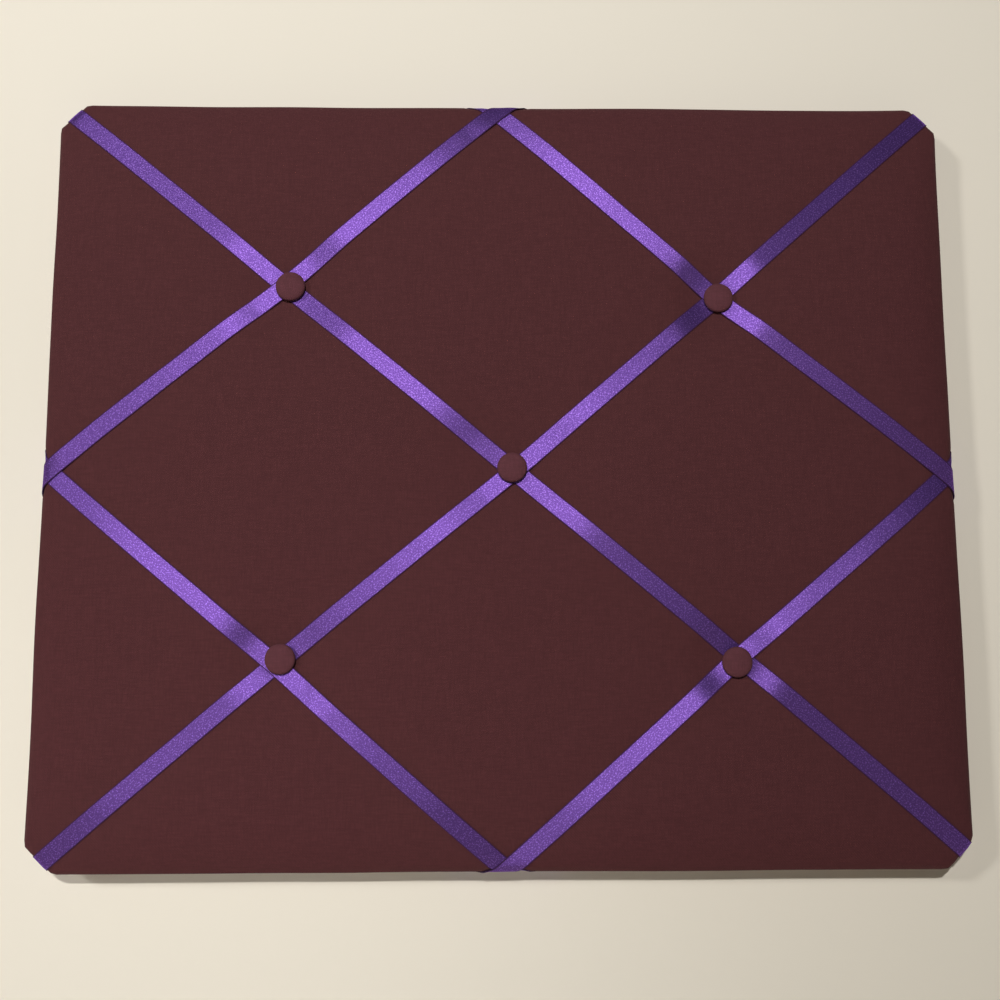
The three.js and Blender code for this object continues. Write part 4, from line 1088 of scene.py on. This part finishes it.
fibreboard, tree, surface = new_material("raw_fibreboard", Roughness=0.88, Specular_IOR_Level=0.2)
place = add_node(tree, "ShaderNodeTexCoord")
fibres = []
for x_size, z_size in (FIBRE, FIBRE[::-1]):
    stretched = add_node(tree, "ShaderNodeMapping", {
        "Vector": place.outputs["Object"], "Scale": (1 / x_size, 1 / FIBRE[1], 1 / z_size)
    })
    fibres.append(add_node(tree, "ShaderNodeTexNoise", {
        "Vector": stretched.outputs["Vector"], "Scale": 1.0, "Detail": 4.0
    }))
crossed = add_node(tree, "ShaderNodeMath", {
    0: fibres[0].outputs["Fac"], 1: fibres[1].outputs["Fac"]
}, operation="MULTIPLY")
amount = add_node(tree, "ShaderNodeMapRange", {
    "Value": crossed.outputs[0], "From Min": FIBRE_NOISE[0], "From Max": FIBRE_NOISE[1]
})
tone = add_node(tree, "ShaderNodeMix", {
    "Factor": amount.outputs["Result"], "A": linear("#86663f"), "B": linear("#b08f63")
}, data_type="RGBA")
bump = add_node(tree, "ShaderNodeBump", {
    "Height": crossed.outputs[0], "Strength": 0.3, "Distance": FIBRE_DEPTH
})
tree.links.new(tone.outputs["Result"], surface.inputs["Base Color"])
tree.links.new(bump.outputs["Normal"], surface.inputs["Normal"])

plastic, tree, surface = new_material(
    "cast_plastic", Roughness=0.28, Subsurface_Weight=0.15, Subsurface_Scale=1 * MM, IOR=1.49
)
place = add_node(tree, "ShaderNodeTexCoord")
clouds = add_node(tree, "ShaderNodeTexNoise", {
    "Vector": place.outputs["Object"], "Scale": 1 / CLOUD, "Detail": 3.0, "Distortion": 1.0
})
milk = add_node(tree, "ShaderNodeMix", {
    "Factor": clouds.outputs["Fac"], "A": linear("#d8d1bd"), "B": linear("#eee9dc")
}, data_type="RGBA")
tree.links.new(milk.outputs["Result"], surface.inputs["Base Color"])

thread, tree, surface = new_material("waxed_cotton_thread", Roughness=0.55, Sheen_Weight=0.15)
place = add_node(tree, "ShaderNodeTexCoord")
slanted = add_node(tree, "ShaderNodeMapping", {
    "Vector": place.outputs["Object"], "Rotation": TWIST_LEAN
})
strands = add_node(tree, "ShaderNodeTexWave", {
    "Vector": slanted.outputs["Vector"], "Scale": 1 / TWIST / math.pi, "Distortion": 1.0
})
# Lighter and darker stripes of colour: painted light and shade of the twist.
spun_painted_shade = add_node(tree, "ShaderNodeMix", {
    "Factor": strands.outputs["Fac"], "A": linear("#2a1819"), "B": linear("#4b3031")
}, data_type="RGBA")
bump = add_node(tree, "ShaderNodeBump", {
    "Height": strands.outputs["Fac"], "Strength": 0.5, "Distance": TWIST_DEPTH
})
tree.links.new(spun_painted_shade.outputs["Result"], surface.inputs["Base Color"])
tree.links.new(bump.outputs["Normal"], surface.inputs["Normal"])
print("fibreboard, plastic and thread are ready")

# %% [markdown]
# The CAD pieces that keep their own shape are told apart by the first words of their names, and
# each kind gets its finish.

# %% Finish the CAD pieces
FINISHES = {
    "backing_board": fibreboard, "anchor_button": plastic, "button_thread": thread,
    "staple": metals["zinc_plated_steel_wire"], "button_shank": metals["zinc_plated_steel_wire"],
    "hanger": metals["nickel_plate"], "d_ring": metals["nickel_plate"],
    "button_shell": metals["pressed_aluminium"], "button_back": metals["pressed_aluminium"],
}
finished = 0
for name, node in NODES.items():
    for start, material in FINISHES.items():
        if name.startswith(start):
            for material_slot in node.material_slots:
                material_slot.material = material
            finished += 1
print(finished, "of", len(NODES), "CAD pieces keep their shape")
